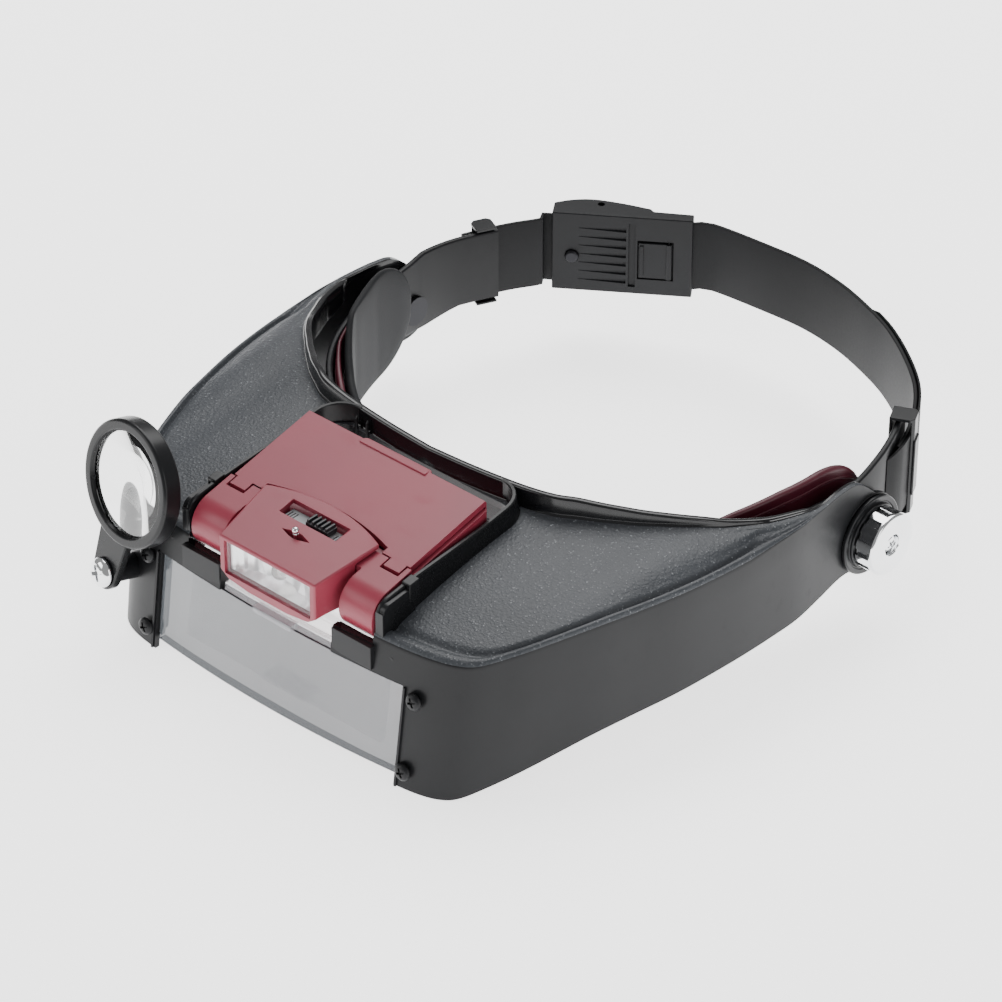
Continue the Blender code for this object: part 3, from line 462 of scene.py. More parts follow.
def finished(obj, body, finishes, nodes=(), angle=32, weighted=True):
    """Places a piece in the frame, smooths it, and gives it its finishes, body and replaced nodes."""
    obj.data.transform(Matrix.Translation(ORIGIN))
    # Clearing the slots resets each face's index, so the indices are put back after.
    marks = [face.material_index for face in obj.data.polygons]
    obj.data.materials.clear()
    for word in finishes.split():
        obj.data.materials.append(MATERIALS[word])
    last = len(obj.data.materials) - 1
    obj.data.polygons.foreach_set("material_index", [min(mark, last) for mark in marks])
    obj.data.shade_smooth()
    obj.data.set_sharp_from_angle(angle=math.radians(angle))
    if weighted:
        modifier = obj.modifiers.new("even", "WEIGHTED_NORMAL")
        modifier.keep_sharp = True
        applied(obj)
    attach(obj, body)
    if nodes:
        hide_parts(*nodes.split())
    return obj


def spline(rows, step):
    """A Catmull-Rom run through rows of numbers: step is the spacing or, as an int, the count per stretch."""
    rows = [Vector(r) for r in rows]
    ends = [2 * rows[0] - rows[1]] + rows + [2 * rows[-1] - rows[-2]]
    made = []
    for i in range(1, len(ends) - 2):
        a, b, c, d = ends[i - 1:i + 3]
        count = step if isinstance(step, int) else max(1, round((c - b).length / step))
        for k in range(count):
            t = k / count
            made.append(0.5 * (2 * b + (c - a) * t + (2 * a - 5 * b + 4 * c - d) * t * t
                               + (3 * b - a - 3 * c + d) * t ** 3))
    made.append(ends[-2])
    return made


def both_sides(half):
    """Mirrors a run that starts on the middle plane, from the left end to the right end."""
    return [tuple(p) for p in reversed(half)] + [(-p[0],) + tuple(p[1:]) for p in half[1:]]


def outward(path):
    """Unit plan normals of a path that runs from the wearer's left round the front to the right."""
    made = []
    for i in range(len(path)):
        a = path[max(i - 1, 0)]
        b = path[min(i + 1, len(path) - 1)]
        step = Vector((b[0] - a[0], b[1] - a[1])).normalized()
        made.append(Vector((-step.y, step.x)))
    return made


def value_at(table, key):
    """Straight-line reading of a short table of (key, value) pairs."""
    if key <= table[0][0]:
        return table[0][1]
    for (k0, v0), (k1, v1) in zip(table, table[1:]):
        if key <= k1:
            return v0 + (v1 - v0) * (key - k0) / (k1 - k0)
    return table[-1][1]


def band(name, path, section, marks=None):
    """An upright band along a plan path. section(i) gives its closed outline as (offset, height) points."""
    rings = []
    for i, (p, n) in enumerate(zip(path, outward(path))):
        rings.append([(p[0] + n.x * o, p[1] + n.y * o, z) for o, z in section(i)])
    return loft(name, rings, marks)


def rounded_section(inner, outer, low, high, radius, steps=4):
    """A rectangle with rounded corners, as (offset, height) points."""
    radius = min(radius, (outer - inner) / 2.02, (high - low) / 2.02)
    made = []
    for (u, v), start in (((inner + radius, low + radius), 180), ((outer - radius, low + radius), 270),
                          ((outer - radius, high - radius), 0), ((inner + radius, high - radius), 90)):
        made += arc((u, v), radius, start, start + 90, steps)
    return made


# ---------------------------------------------------------------- repeats, by geometry nodes

def repeat_tree(name, ring):
    """A node tree that repeats a piece along a line or, as a ring, about an axis through the origin."""
    tree = bpy.data.node_groups.new(name, "GeometryNodeTree")
    sockets = [("Geometry", "NodeSocketGeometry"), ("Piece", "NodeSocketObject"), ("Count", "NodeSocketInt"),
               ("Step", "NodeSocketVector"), ("Finish", "NodeSocketMaterial")]
    for label, kind in sockets:
        tree.interface.new_socket(label, in_out="INPUT", socket_type=kind)
    tree.interface.new_socket("Geometry", in_out="OUTPUT", socket_type="NodeSocketGeometry")
    nodes, links = tree.nodes, tree.links
    given = nodes.new("NodeGroupInput")
    result = nodes.new("NodeGroupOutput")
    piece = nodes.new("GeometryNodeObjectInfo")
    line = nodes.new("GeometryNodeMeshLine")
    copies = nodes.new("GeometryNodeInstanceOnPoints")
    real = nodes.new("GeometryNodeRealizeInstances")
    paint = nodes.new("GeometryNodeSetMaterial")
    links.new(given.outputs["Piece"], piece.inputs["Object"])
    links.new(given.outputs["Count"], line.inputs["Count"])
    links.new(line.outputs["Mesh"], copies.inputs["Points"])
    links.new(piece.outputs["Geometry"], copies.inputs["Instance"])
    if ring:
        index = nodes.new("GeometryNodeInputIndex")
        turn = nodes.new("ShaderNodeVectorMath")
        turn.operation = "SCALE"
        links.new(given.outputs["Step"], turn.inputs[0])
        links.new(index.outputs[0], turn.inputs["Scale"])
        links.new(turn.outputs[0], copies.inputs["Rotation"])
        line.inputs["Offset"].default_value = (0, 0, 0)
    else:
        links.new(given.outputs["Step"], line.inputs["Offset"])
    links.new(copies.outputs["Instances"], real.inputs["Geometry"])
    links.new(real.outputs["Geometry"], paint.inputs["Geometry"])
    links.new(given.outputs["Finish"], paint.inputs["Material"])
    links.new(paint.outputs["Geometry"], result.inputs[0])
    return tree


REPEATS = {False: repeat_tree("copies_in_a_row", False), True: repeat_tree("copies_in_a_ring", True)}


def repeated(name, piece, count, step, ring=False):
    """Copies of a piece, a step apart in millimetres, or turned by a step in radians about the origin."""
    holder = linked(name, bpy.data.meshes.new(name))
    modifier = holder.modifiers.new("repeat", "NODES")
    modifier.node_group = REPEATS[ring]
    items = REPEATS[ring].interface.items_tree
    named = {item.name: item.identifier for item in items if item.in_out == "INPUT"}
    modifier[named["Piece"]] = piece
    modifier[named["Count"]] = count
    modifier[named["Step"]] = [float(s) * (1 if ring else MM) for s in step]
    modifier[named["Finish"]] = MATERIALS["satin_black"]
    applied(holder)
    bpy.data.objects.remove(piece)
    return holder


def cross_recess(centre, axis, reach, width, depth):
    """A cutter for a cross recess in a screw head."""
    w = width / 2
    plus = [(reach, -w), (reach, w), (w, w), (w, reach), (-w, reach), (-w, w), (-reach, w), (-reach, -w),
            (-w, -w), (-w, -reach), (w, -reach), (w, -w)]
    turn = frame_of(axis) @ Matrix.Rotation(CROSS_TURN, 3, "Z")
    rings = [[Vector(centre) + turn @ Vector((u, v, z)) for u, v in plus] for z in (-depth, depth)]
    return loft("cross", rings)


# ---------------------------------------------------------------- visor shell

TOP_OUTLINE = [(0, 3.0), (17, 3.4), (33, 4.3), (44, 5.3), (53, 6.9), (59.5, 9.2), (63.6, 12.6),
               (67.6, 19), (71.8, 27.2), (77.9, 43.5), (81.4, 55.5), (84.6, 68.1), (86.6, 79),
               (88.3, 92), (89.1, 104.8), (89.2, 113.2), (88.6, 122.6), (87.7, 132.5),
               (87.3, 140), (87.2, 149)]
BOTTOM_OUTLINE = [(0, -2.9), (17, -2.6), (33, -1.6), (44, -0.4), (52.5, 0.9), (58.2, 3.0), (62, 6.3),
                  (65.6, 12.6), (70.4, 23.5), (76.9, 41), (80.5, 54), (83.7, 67), (85.8, 78.4),
                  (87.5, 91.6), (88.4, 104.4), (88.6, 113), (88.1, 122.4), (87.5, 132.4),
                  (87.3, 140), (87.2, 149)]
TOP_HEIGHT = [(12, 39.1), (27, 41.3), (44, 42.5), (132, 42.8), (139, 41.6), (145, 38), (149, 33)]
BOTTOM_HEIGHT = [(5, -3.0), (44, 6.5), (84, 9.5), (115.7, 10.8), (132, 13.4), (141, 13.0), (149, 14.5)]
# The brow: x, y, height of the rim's top, height at which the top panel meets the rim.
BROW = [(0, 62, 52.5, 46.5), (16, 62.7, 52.9, 46.8), (32, 64, 53.6, 47.5), (42, 65.8, 54.2, 48.0),
        (47.5, 68.6, 54.2, 48.2), (52.8, 71.9, 53.4, 48.0), (57, 75.3, 52.4, 47.6),
        (61.2, 78.8, 51.4, 47.2), (65, 82.4, 50.5, 46.9), (69.1, 86.2, 49.7, 46.6),
        (73.5, 91.1, 48.5, 46.1), (76.5, 95.2, 47.2, 45.4), (79.1, 99.7, 46.1, 44.8),
        (81.5, 104, 45.3, 44.3), (83.5, 108.1, 44.7, 43.9), (86.1, 116.9, 43.7, 43.2)]
RIM_THICK = 1.5
RIM_FRONT = 0.6
ROWS_PER_STATION = 6


def brow_rows():
    """The brow, carried on along the inside of the arm to the rear end."""
    rows = list(BROW)
    for x, y in TOP_OUTLINE[len(BROW):]:
        z = value_at(TOP_HEIGHT, y)
        rows.append((x - WALL - 0.1, y, z, z - 0.1))
    return rows


def outline_rows(outline, heights):
    return [(x, y, value_at(heights, y)) for x, y in outline]


def shell_section(top, bottom, brow, n_top, n_bottom, n_brow):
    """One closed cross-section of the shell, as points, with the finish of each stretch."""
    edge = Vector(top[:2])
    ridge = Vector(brow[:2])
    width = (ridge - edge).length
    along = (ridge - edge) / width
    z_top, z_low, z_rim, z_panel = top[2], bottom[2], brow[2], brow[3]
    share = clamp((width - 1.8) / 12)
    thick = 0.15 + (RIM_THICK - 0.15) * clamp((width - 2.0) / 3)
    round_r = 0.5 + 1.9 * share
    foot = Vector(bottom[:2])

    def on_top(u, z):
        p = edge + along * u
        return (p.x, p.y, z)

    def at_brow(o, z):
        p = ridge + n_brow * o
        return (p.x, p.y, z)

    points = []
    marks = []

    def add(point, mark):
        points.append(tuple(point))
        marks.append(mark)

    inner_low = foot - n_bottom * WALL
    inner_top = edge - n_top * WALL
    low_r = 0.45
    add((*(foot - n_bottom * low_r), z_low), SATIN)
    add((*foot, z_low + low_r), SATIN)
    for k in (0.25, 0.5, 0.75):
        mid = foot.lerp(edge, k)
        add((mid.x, mid.y, z_low + (z_top - round_r - z_low) * k), SATIN)
    for k in range(7):
        t = math.pi - math.pi / 2 * k / 6
        mark = SATIN if k < 2 else GRAIN
        add(on_top(round_r + round_r * math.cos(t), z_top - round_r + round_r * math.sin(t)), mark)
    groove = [(0.9, 0.0), (1.5, -0.28), (2.1, -0.80), (2.7, -1.02), (3.3, -0.90), (4.0, -0.35), (4.8, 0.15),
              (5.8, 0.50), (7.0, 0.75)]
    for u, z in groove:
        add(on_top((round_r + u) * (share if u > 0.9 else max(share, 0.3)), z_top + z * share), GRAIN)
    start = (round_r + 7.0) * share
    end = max(width - RIM_FRONT - 1.8 * share, start)
    crown = min(1.0, width / 40)
    start_z = z_top + 0.75 * share
    steps = 9
    for k in range(1, steps):
        s = k / steps
        bow = 4 * s * (1 - s) * 1.1 * crown
        add(on_top(start + (end - start) * s, start_z + (z_panel - start_z) * s + bow), GRAIN)
    rise = max(z_rim - z_panel, 0.05)
    fillet = min(1.3, rise * 0.5)
    for k in range(5):
        t = math.pi / 2 * k / 4
        o = RIM_FRONT + 1.8 * share * (1 - math.sin(t))
        add(at_brow(o, z_panel + fillet * (1 - math.cos(t))), GRAIN if k < 2 else GLOSS)
    lip = min(0.55, rise * 0.4)
    for o, z in ((RIM_FRONT * share, z_rim - lip), (0.35 * share, z_rim - lip * 0.25), (0.0, z_rim)):
        add(at_brow(o, z), GLOSS)
    for o, z in ((-0.6, 0.0), (-0.88, -0.16), (-1.0, -0.55)):
        add(at_brow(o * thick, z_rim + z * min(1.0, rise)), GLOSS)
    depth = 8.0 + 6.0 * clamp((BAY_HALF + 6 - abs(brow[0])) / 6)
    depth = min(depth, 1.2 + 20 * share)
    add(at_brow(-thick, z_rim - depth * 0.5), GLOSS)
    add(at_brow(-thick, z_rim - depth), SATIN)
    rear = RIM_FRONT * share - 0.1
    add(at_brow(rear, z_rim - depth), GLOSS)
    under = min(z_panel - WALL, z_rim - 1.0)
    add(at_brow(rear, max(under, z_rim - depth + 0.1)), SATIN)
    gap = Vector(at_brow(rear, 0)[:2]) - inner_top
    base = z_top - WALL - 0.9 * share
    for k in (0.75, 0.5, 0.25):
        p = inner_top + gap * k
        lift = 4 * k * (1 - k) * 1.1 * crown
        add((p.x, p.y, base + (under - base) * k + lift), SATIN)
    add((*inner_top, base - 0.3), SATIN)
    for k in (0.66, 0.33):
        mid = inner_low.lerp(inner_top, k)
        add((mid.x, mid.y, z_low + (z_top - WALL - z_low) * k), SATIN)
    add((*inner_low, z_low), SATIN)
    return points, marks


def front_y(x, z):
    """The y of the front wall's outer face."""
    return -FRONT_BULGE * (1 - (x / 45) ** 2) + LEAN * z


def bay_rib(side):
    """The rim beside the lamp: its stepped clip at the front, and its rear end turned into the brow."""
    line = [(34.9, 5.2), (34.9, 30.0), (34.9, 53.0)] + arc((25.9, 54.6), 9.0, 0, 90, 9)
    path = spline([(side * x, y, 0) for x, y in line], 1.2)
    tops = [(5.0, 44.9), (6.2, 46.9), (8.2, 48.0), (18.5, 49.4), (45, 51.4), (56, 53.0), (61, 53.4)]
    turned_round = outward(path) if side < 0 else [-n for n in outward(path)]
    rings = []
    for p, n in zip(path, turned_round):
        top = value_at(tops, p[1])
        skirt = value_at([(5, 41.0), (20, 43.0), (60, 48.0)], p[1])
        section = [(-0.7, 36.0), (-0.7, top - 0.35), (-0.45, top), (0.35, top), (0.65, top - 0.3),
                   (0.8, top - 1.2), (1.0, skirt + 1.2), (1.6, skirt), (1.6, 36.0)]
        rings.append([(p[0] + n.x * o, p[1] + n.y * o, z) for o, z in section])
    rib = loft("rib", rings)
    outline = [(5.1, 34.0), (5.1, 45.4)] + arc((8.2, 44.6), 2.8, 170, 96, 5) + [(17.5, 48.3), (17.5, 40.0)]
    lower = prism("rib_front", outline, *span(side, BAY_HALF + 1.0, BAY_HALF + 2.9), "x")
    outline = [(15.2, 44.0), (15.2, 49.6), (18.9, 50.1), (18.9, 44.0)]
    block = prism("clip", outline, *span(side, BAY_HALF + 0.15, BAY_HALF + 3.2), "x")
    return [rib] + [bevelled(piece, 0.28, 3) for piece in (lower, block)]


def corner_webs():
    """Two thin webs in the bay's rear corner on the wearer's right."""
    webs = []
    for x in (-26.5, -22.5):
        web = prism("web", [(61.0, 40), (61.8, 40), (61.8, 51.6), (61.0, 50.4)], x, x + 0.8, "x")
        webs.append(bevelled(web, 0.2))
    return webs


def visor_shell():
    """The shell, swept from the wearer's left round the front to the right, then opened for lamp and lens."""
    top = both_sides(spline(outline_rows(TOP_OUTLINE, TOP_HEIGHT), ROWS_PER_STATION))
    bottom = both_sides(spline(outline_rows(BOTTOM_OUTLINE, BOTTOM_HEIGHT), ROWS_PER_STATION))
    brow = both_sides(spline(brow_rows(), ROWS_PER_STATION))
    rings = []
    marks = []
    for station in zip(top, bottom, brow, outward(top), outward(bottom), outward(brow)):
        points, marks = shell_section(*station)
        rings.append(points)
    shell = loft("visor_body", rings, marks)
    corner = 7.0
    front = [(-BAY_HALF, -10), (BAY_HALF, -10)]
    rear = arc((BAY_HALF - corner, BAY_REAR - corner), corner, 0, 90, 12)
    rear += arc((corner - BAY_HALF, BAY_REAR - corner), corner, 90, 180, 12)
    cut(shell, prism("bay", front + rear, LEDGE_TOP, 80, mark=GLOSS))
    cut(shell, box("lens_opening", (-LENS_HALF, -10, -12), (LENS_HALF, 12, LENS_TOP)))
    cut(shell, box("notch", (-NOTCH_HALF, -10, 20), (NOTCH_HALF, 12, 50)))
    for side in (1, -1):
        cut(shell, cylinder("bolt_hole", (0, *TILT_AXIS), (side, 0, 0), 2.6, 80, 92, 32))
    return shell


def side_fittings(side):
    """What the shell carries on one side: lens ledge, hinge ear, lamp trunnion, knob boss and lens stile."""
    low, high = span(side, NOTCH_HALF + 0.15, BAY_HALF + 0.9)
    ledge = bevelled(box("ledge", (low, 2.4, 28.2), (high, 6.1, LEDGE_TOP - 0.2)), 0.25)
    low, high = span(side, 37.4, 41.0)
    ear = box("ear", (low, 4.4, 27.7), (high, 13.6, 34.0))
    ear = bevelled(cut(ear, cylinder("hole", (0, *FLIP_AXIS), (1, 0, 0), 1.3, low - 1, high + 1, 24)), 0.2)
    trunnion = cylinder("trunnion", (0, *LAMP_AXIS), (1, 0, 0), 1.6, *span(side, 31.0, BAY_HALF + 1.0), 28)
    profile = [(2.7, 85.6), (11.7, 85.6), (12.0, 85.9), (12.0, 87.2), (11.7, 87.5), (2.7, 87.5)]
    boss = turned("boss", profile, (0, *TILT_AXIS), (side, 0, 0), 64)
    x = 45.2
    outline = ((-2.6, -0.35), (27.2, -0.35), (27.2, 0.6), (-2.6, 0.6))
    rings = [[(side * (x + more), front_y(x, z) + d, z) for z, d in outline] for more in (0, 0.7)]
    return [ledge, ear, trunnion, boss, loft("stile", rings)]


def visor_pieces():
    shell = visor_shell()
    ribs = bay_rib(1) + bay_rib(-1) + corner_webs()
    lug = [(1.8, -8.3), (3.4, -8.3), (3.6, -8.0), (3.6, -0.3), (3.3, 0.0), (1.8, 0.0)]
    fittings = side_fittings(1) + side_fittings(-1)
    fittings.append(turned("lug", lug, LOUPE_PIVOT - LOUPE_NORMAL * 2.2, LOUPE_NORMAL, 40))
    finished(shell, "visor", " ".join(SHELL_FINISHES), "visor_shell", 38, False)
    finished(gather("visor_fittings", fittings), "visor", "satin_black")
    finished(gather("bay_ribs", ribs), "visor", "rib_black")


# ---------------------------------------------------------------- lenses and their fastenings

def curved_plate(name, halves, z_low, z_high, rows=1):
    """A plate that follows the front's bulge and lean. Each of halves is (x, front offset, rear offset)."""
    fine = spline(halves, 3.0)
    rings = []
    for k in range(rows + 1):
        z = z_low + (z_high - z_low) * k / rows
        front = [(p.x, front_y(p.x, z) + p.y, z) for p in fine]
        rear = [(p.x, front_y(p.x, z) + p.z, z) for p in fine]
        ring = [(-x, y, w) for x, y, w in reversed(front)] + front
        ring += list(reversed(rear)) + [(-x, y, w) for x, y, w in rear]
        rings.append(ring)
    return loft(name, rings)


def main_lens():
    """The lens plate with dark top and bottom edges, its ears behind the pillars, and its clear upper lip."""
    halves = [(0, 1.2, 4.2), (20, 1.2, 4.0), (32, 1.2, 3.8), (44.4, 1.2, 3.7)]
    plate = curved_plate("main_lens_plate", halves, 0.0, LENS_TOP - 0.3, 4)
    for face in plate.data.polygons:
        if abs(face.normal.z) > 0.7:
            face.material_index = 1
    bevelled(plate, 0.25)
    ears = []
    for side in (1, -1):
        ring = []
        for z in (0.2, LENS_TOP - 0.5):
            near = [(side * x, front_y(x, z) + f, z) for x, f in ((44.5, 2.6), (53, 2.9))]
            far = [(side * x, front_y(x, z) + r, z) for x, r in ((53, 4.1), (44.5, 3.7))]
            ring.append(near + far)
        ears.append(loft("ear", ring, mark=1))
    finished(gather("main_lens_clear", [plate] + ears), "visor", "lens_plate lens_edge",
             "main_lens")
    halves = [(x, 1.6, 3.4) for x in (0, 12, NOTCH_HALF - 0.5)]
    lip = bevelled(curved_plate("lip", halves, LENS_TOP - 0.2, 29.6), 0.25)
    tab = bevelled(box("tab", (-7, 0.9, 27.4), (7, 4.0, 29.3)), 0.3)
    finished(gather("main_lens_lip", [lip, tab]), "visor", "lens_lip")


def lens_clip(word, side):
    rings = []
    for z in (0.4, 26.9):
        corners = ((45.8, 4.5), (53.2, 4.5), (53.2, 6.2), (45.8, 6.2))
        rings.append([(side * x, front_y(x, z) + behind, z) for x, behind in corners])
    clip = bevelled(loft("clip_plate_" + word, rings), 0.35)
    finished(clip, "visor", "satin_black", "lens_clip_" + word)


def second_lens():
    """The flip-down lens with its hinge bar and thumb lip."""
    y0 = FLIP_AXIS[0] - 3.3
    outline = [(y0 - LEAN * 24, 4.0), (y0 + 2.4 - LEAN * 24, 4.0), (y0 + 2.6, 29.0), (y0 + 1.0, 29.0)]
    plate = bevelled(prism("second_lens_plate", outline, -36, 36, "x"), 0.3)
    parts = [plate,
             cylinder("bar", (0, *FLIP_AXIS), (1, 0, 0), 1.8, -36.6, 36.6, 32),
             cylinder("pins", (0, *FLIP_AXIS), (1, 0, 0), 0.9, -40.4, 40.4, 24),
             bevelled(box("thumb_lip", (-8, y0 - LEAN * 23, 3.0), (8, y0 + 3.4, 4.6)), 0.4)]
    finished(gather("second_lens", parts), "second_lens", "lens_clear", "flip_lens")


def lens_pieces():
    main_lens()
    lens_clip("left", 1)
    lens_clip("right", -1)
    second_lens()


def pan_screw(name, at, axis, shank, low, radius, height, recess):
    """A screw with a domed head and a cross recess; the head's underside is at the given point."""
    dome = [(radius, height * 0.25), (radius * 0.93, height * 0.55), (radius * 0.75, height * 0.82),
            (radius * 0.4, height * 0.97), (0, height)]
    screw = turned(name, [(0, low), (shank, low), (shank, 0), (radius, 0)] + dome, at, axis, 40)
    top = Vector(at) + Vector(axis).normalized() * height
    return cut(screw, cross_recess(top, axis, radius * 0.56, radius * 0.26, recess))


def screw_pieces():
    made = []
    for side in (1, -1):
        for x, z in SCREW_PLACES:
            at = Vector((side * x, front_y(x, z), z)) + FRONT_NORMAL * 0.65
            made.append(pan_screw("screw", at, FRONT_NORMAL, 1.2, -6.5, 2.5, 1.3, 0.75))
    nodes = "lens_screw_left_upper lens_screw_left_lower lens_screw_right_upper lens_screw_right_lower"
    finished(gather("lens_screws", made), "visor", "satin_black", nodes)
    at = LOUPE_PIVOT + LOUPE_NORMAL * 1.7
    screw = pan_screw("loupe_pivot_screw", at, LOUPE_NORMAL, 1.45, -8.7, 4.2, 2.2, 1.2)
    finished(screw, "visor", "chrome", "loupe_screw")
    washer = turned("pivot_washer", rectangle((1.8, -1.9), (3.2, -1.6)), LOUPE_PIVOT, LOUPE_NORMAL)
    finished(washer, "visor", "steel", "loupe_washer")


# ---------------------------------------------------------------- lamp

def cover_top(y):
    return COVER_FRONT[1] + COVER_SLOPE * (y - COVER_FRONT[0])


def tray_top(y):
    return cover_top(y) - COVER_THICK - 0.35


def lamp_base():
    """The barrel and the battery tray behind it."""
    y_seam = COVER_FRONT[0] - 0.3
    y_rear = COVER_REAR_Y - 0.4
    barrel = arc(LAMP_AXIS, BARREL_R, 101, 262, 40)
    outline = barrel + [(y_seam + 2, cover_top(y_seam) - TRAY_DEPTH),
                        (y_rear, cover_top(y_rear) - TRAY_DEPTH), (y_rear, tray_top(y_rear)),
                        (y_seam, tray_top(y_seam)), (y_seam, cover_top(y_seam))]
    base = prism("lamp_body", outline, -LAMP_HALF, LAMP_HALF, "x")
    cut(base, prism("head_room", rectangle((-5, 25), (13.6, 60)), -21.3, 21.3, "x"))
    room = [(23.4, cover_top(23.4) - 13.7), (46.8, cover_top(46.8) - 13.7), (46.8, 62), (23.4, 62)]
    cut(base, prism("cell_room", room, -26.2, 26.2, "x"))
    sill = [(24.2, 48.3), (24.2, 48.9), (27.3, 49.3), (27.3, 48.7)]
    base = gather("lamp_body", [base, prism("sill", sill, -22.4, 22.4, "x")])
    cut(base, box("board_room", (-11.2, 15.0, 43.6), (11.2, 21.4, 60)))
    for side in (1, -1):
        cut(base, cylinder("trunnion_hole", (0, *LAMP_AXIS), (1, 0, 0), 1.95, *span(side, 30.6, 40), 28))
        low, high = span(side, 25.0, 31.5)
        cut(base, box("tongue_room", (low, 16.6, 44.8), (high, 23.8, 60)))
    bevelled(base, 0.3, 3, 28)
    finished(base, "lamp", "maroon", "lamp_base")


def lamp_hood():
    """The lamp head: a wedge over the bulb that reaches back over the switch."""
    rear = arc((0, -31.2), 56.2, 68.1, 111.9, 24)
    hood = prism("lamp_head", [(-17.5, -0.2), (17.5, -0.2)] + rear, 25, 60)
    cut(hood, prism("above", [(-10, 46.35), (30, 53.65), (30, 70), (-10, 70)], -40, 40, "x"))
    under = [(13.3, 20), (13.3, cover_top(13.3) + 0.35), (40, cover_top(40) + 0.35), (40, 20)]
    cut(hood, prism("under", under, -40, 40, "x"))
    chin = [(-40, 10), (40, 10), (40, 38.8), (18, 37.4), (14.5, 34.9), (7, 33.9), (-7, 33.9),
            (-14.5, 34.9), (-18, 37.4), (-40, 38.8)]
    cut(hood, prism("below", chin, -10, 14, "y"))
    bevelled(hood, 0.55, 4, 24)
    cut(hood, box("bulb_room", (-15.7, -4, 36.6), (15.7, 12.6, 47.0)))
    cut(hood, box("switch_slot", (-10.4, 15.4, 44), (10.4, 20.9, 60)))
    slot = [(-5.0, 11.0), (-1.6, 10.0), (0.0, 9.8), (1.6, 10.0), (5.0, 11.0), (1.6, 12.0), (0.0, 12.2),
            (-1.6, 12.0)]
    cut(hood, prism("lever_slot", slot, 46, 60, "z"))
    bevelled(hood, 0.12, 2, 50)
    finished(hood, "lamp", "maroon", "lamp_hood")


def battery_cover():
    """The lid: a plate with a front edge that clears the hood, two tongues, a rear lip and a finger tab."""
    y0, y1, t = COVER_FRONT[0] + 0.1, COVER_REAR_Y, COVER_THICK
    z0, z1 = cover_top(y0), cover_top(y1)
    outline = [(y0, z0), (y1, z1), (y1 + 0.5, z1 - 0.8), (y1 + 0.5, z1 - 5), (y1 - 0.1, z1 - 5),
               (y1 - 0.1, z1 - t), (y0, z0 - t)]
    cover = prism("battery_lid", outline, -32.2, 32.2, "x")
    hood = [(-22.1, 10), (22.1, 10)] + arc((0, -51.4), 77.5, 73.43, 106.57, 32)
    cut(cover, prism("hood_room", hood, 30, 60))
    tongue = [(y, cover_top(y) - drop) for y, drop in ((17.6, 0), (21.4, 0), (21.4, t), (17.6, t))]
    for side in (1, -1):
        cut(cover, prism("tongue", tongue, *span(side, 25.5, 31.0), "x"), "UNION")
    bevelled(cover, 0.3, 3)
    tab = [(-12.2, y1 - 1.0), (12.2, y1 - 1.0), (12.2, y1 + 0.3)] + arc((10.9, y1 + 0.3), 1.3, 0, 90, 5)
    tab += arc((-10.9, y1 + 0.3), 1.3, 90, 180, 5)
    lip = prism("tab", tab, z1 - 2.5, z1 - 0.45)
    upper = [(x * 0.985, y - 0.7) for x, y in tab]
    step = prism("tab_step", upper, z1 - 1.2, z1 + 0.12)
    lid = gather("battery_lid", [cover, bevelled(lip, 0.25, 3), bevelled(step, 0.25, 3)])
    finished(lid, "battery_cover", "maroon", "battery_cover")


def reflector():
    """A silvered tray: a round bowl in the middle with a shallow stepped scoop on each side."""
    half_x, z0, z1, y_front, y_back = 15.3, 37.0, 46.6, 1.9, 8.6
    across, up = 96, 32
    middle = (z0 + z1) / 2

    steps = [(8.6, 3.4), (9.4, 2.5), (11.2, 2.1), (11.8, 1.3), (13.4, 0.9), (14.0, 0.3), (15.3, 0.0)]

    def depth(x, z):
        rim = clamp(min(half_x - abs(x), z1 - z, z - z0) / 0.5)
        scoop = value_at(steps, abs(x))
        r2 = (x * x + (z - middle) ** 2) / 7.6 ** 2
        bowl = 5.9 * math.sqrt(1 - 0.8 * r2) if r2 < 1 else 0.0
        return y_front + rim * min(6.1, max(scoop, bowl))

    grid = []
    for j in range(up + 1):
        for i in range(across + 1):
            x = -half_x + 2 * half_x * i / across
            z = z0 + (z1 - z0) * j / up
            grid.append((x, depth(x, z), z))
    count = len(grid)
    points = grid + [(x, y_back, z) for x, _, z in grid]
    row = across + 1
    faces = []
    for j in range(up):
        for i in range(across):
            a = j * row + i
            quad = (a, a + 1, a + row + 1, a + row)
            faces.append(quad)
            faces.append(tuple(k + count for k in reversed(quad)))
    border = list(range(row)) + [j * row + across for j in range(1, up + 1)]
    border += [up * row + i for i in range(across - 1, -1, -1)] + [j * row for j in range(up - 1, 0, -1)]
    for k, a in enumerate(border):
        b = border[(k + 1) % len(border)]
        faces.append((a, b, b + count, a + count))
    tray = mesh_object("reflector_tray", points, faces)
    finished(tray, "lamp", "mirror", "reflector", 24, False)


def switch_pieces():
    """The scale plate with its ticks, and the ridged slider on it."""
    plate = bevelled(box("scale", (-10.0, 15.8, 47.6), (10.0, 20.5, 49.2)), 0.15)
    finished(plate, "lamp", "scale_grey", "scale_plate")
    ticks = []
    for start in (-9.2, 7.4):
        tick = box("tick", (start, 17.0, 49.1), (start + 0.35, 19.3, 49.32))
        ticks.append(repeated("ticks", tick, 3, (0.95, 0, 0)))
    finished(gather("scale_ticks", ticks), "lamp", "slider_black")
    slider = bevelled(box("slider", (-1.5, 16.2, 49.6), (6.5, 20.1, 51.2)), 0.2)
    profile = [(-1.2, 50.9), (-0.25, 50.9), (-0.4, 52.1), (-1.05, 52.1)]
    ridge = bevelled(prism("ridge", profile, 16.4, 19.9, "y"), 0.12)
    ridges = repeated("ridges", ridge, 5, (1.62, 0, 0))
    finished(gather("slider_ridged", [slider, ridges]), "switch", "slider_black",
             "switch_slider")


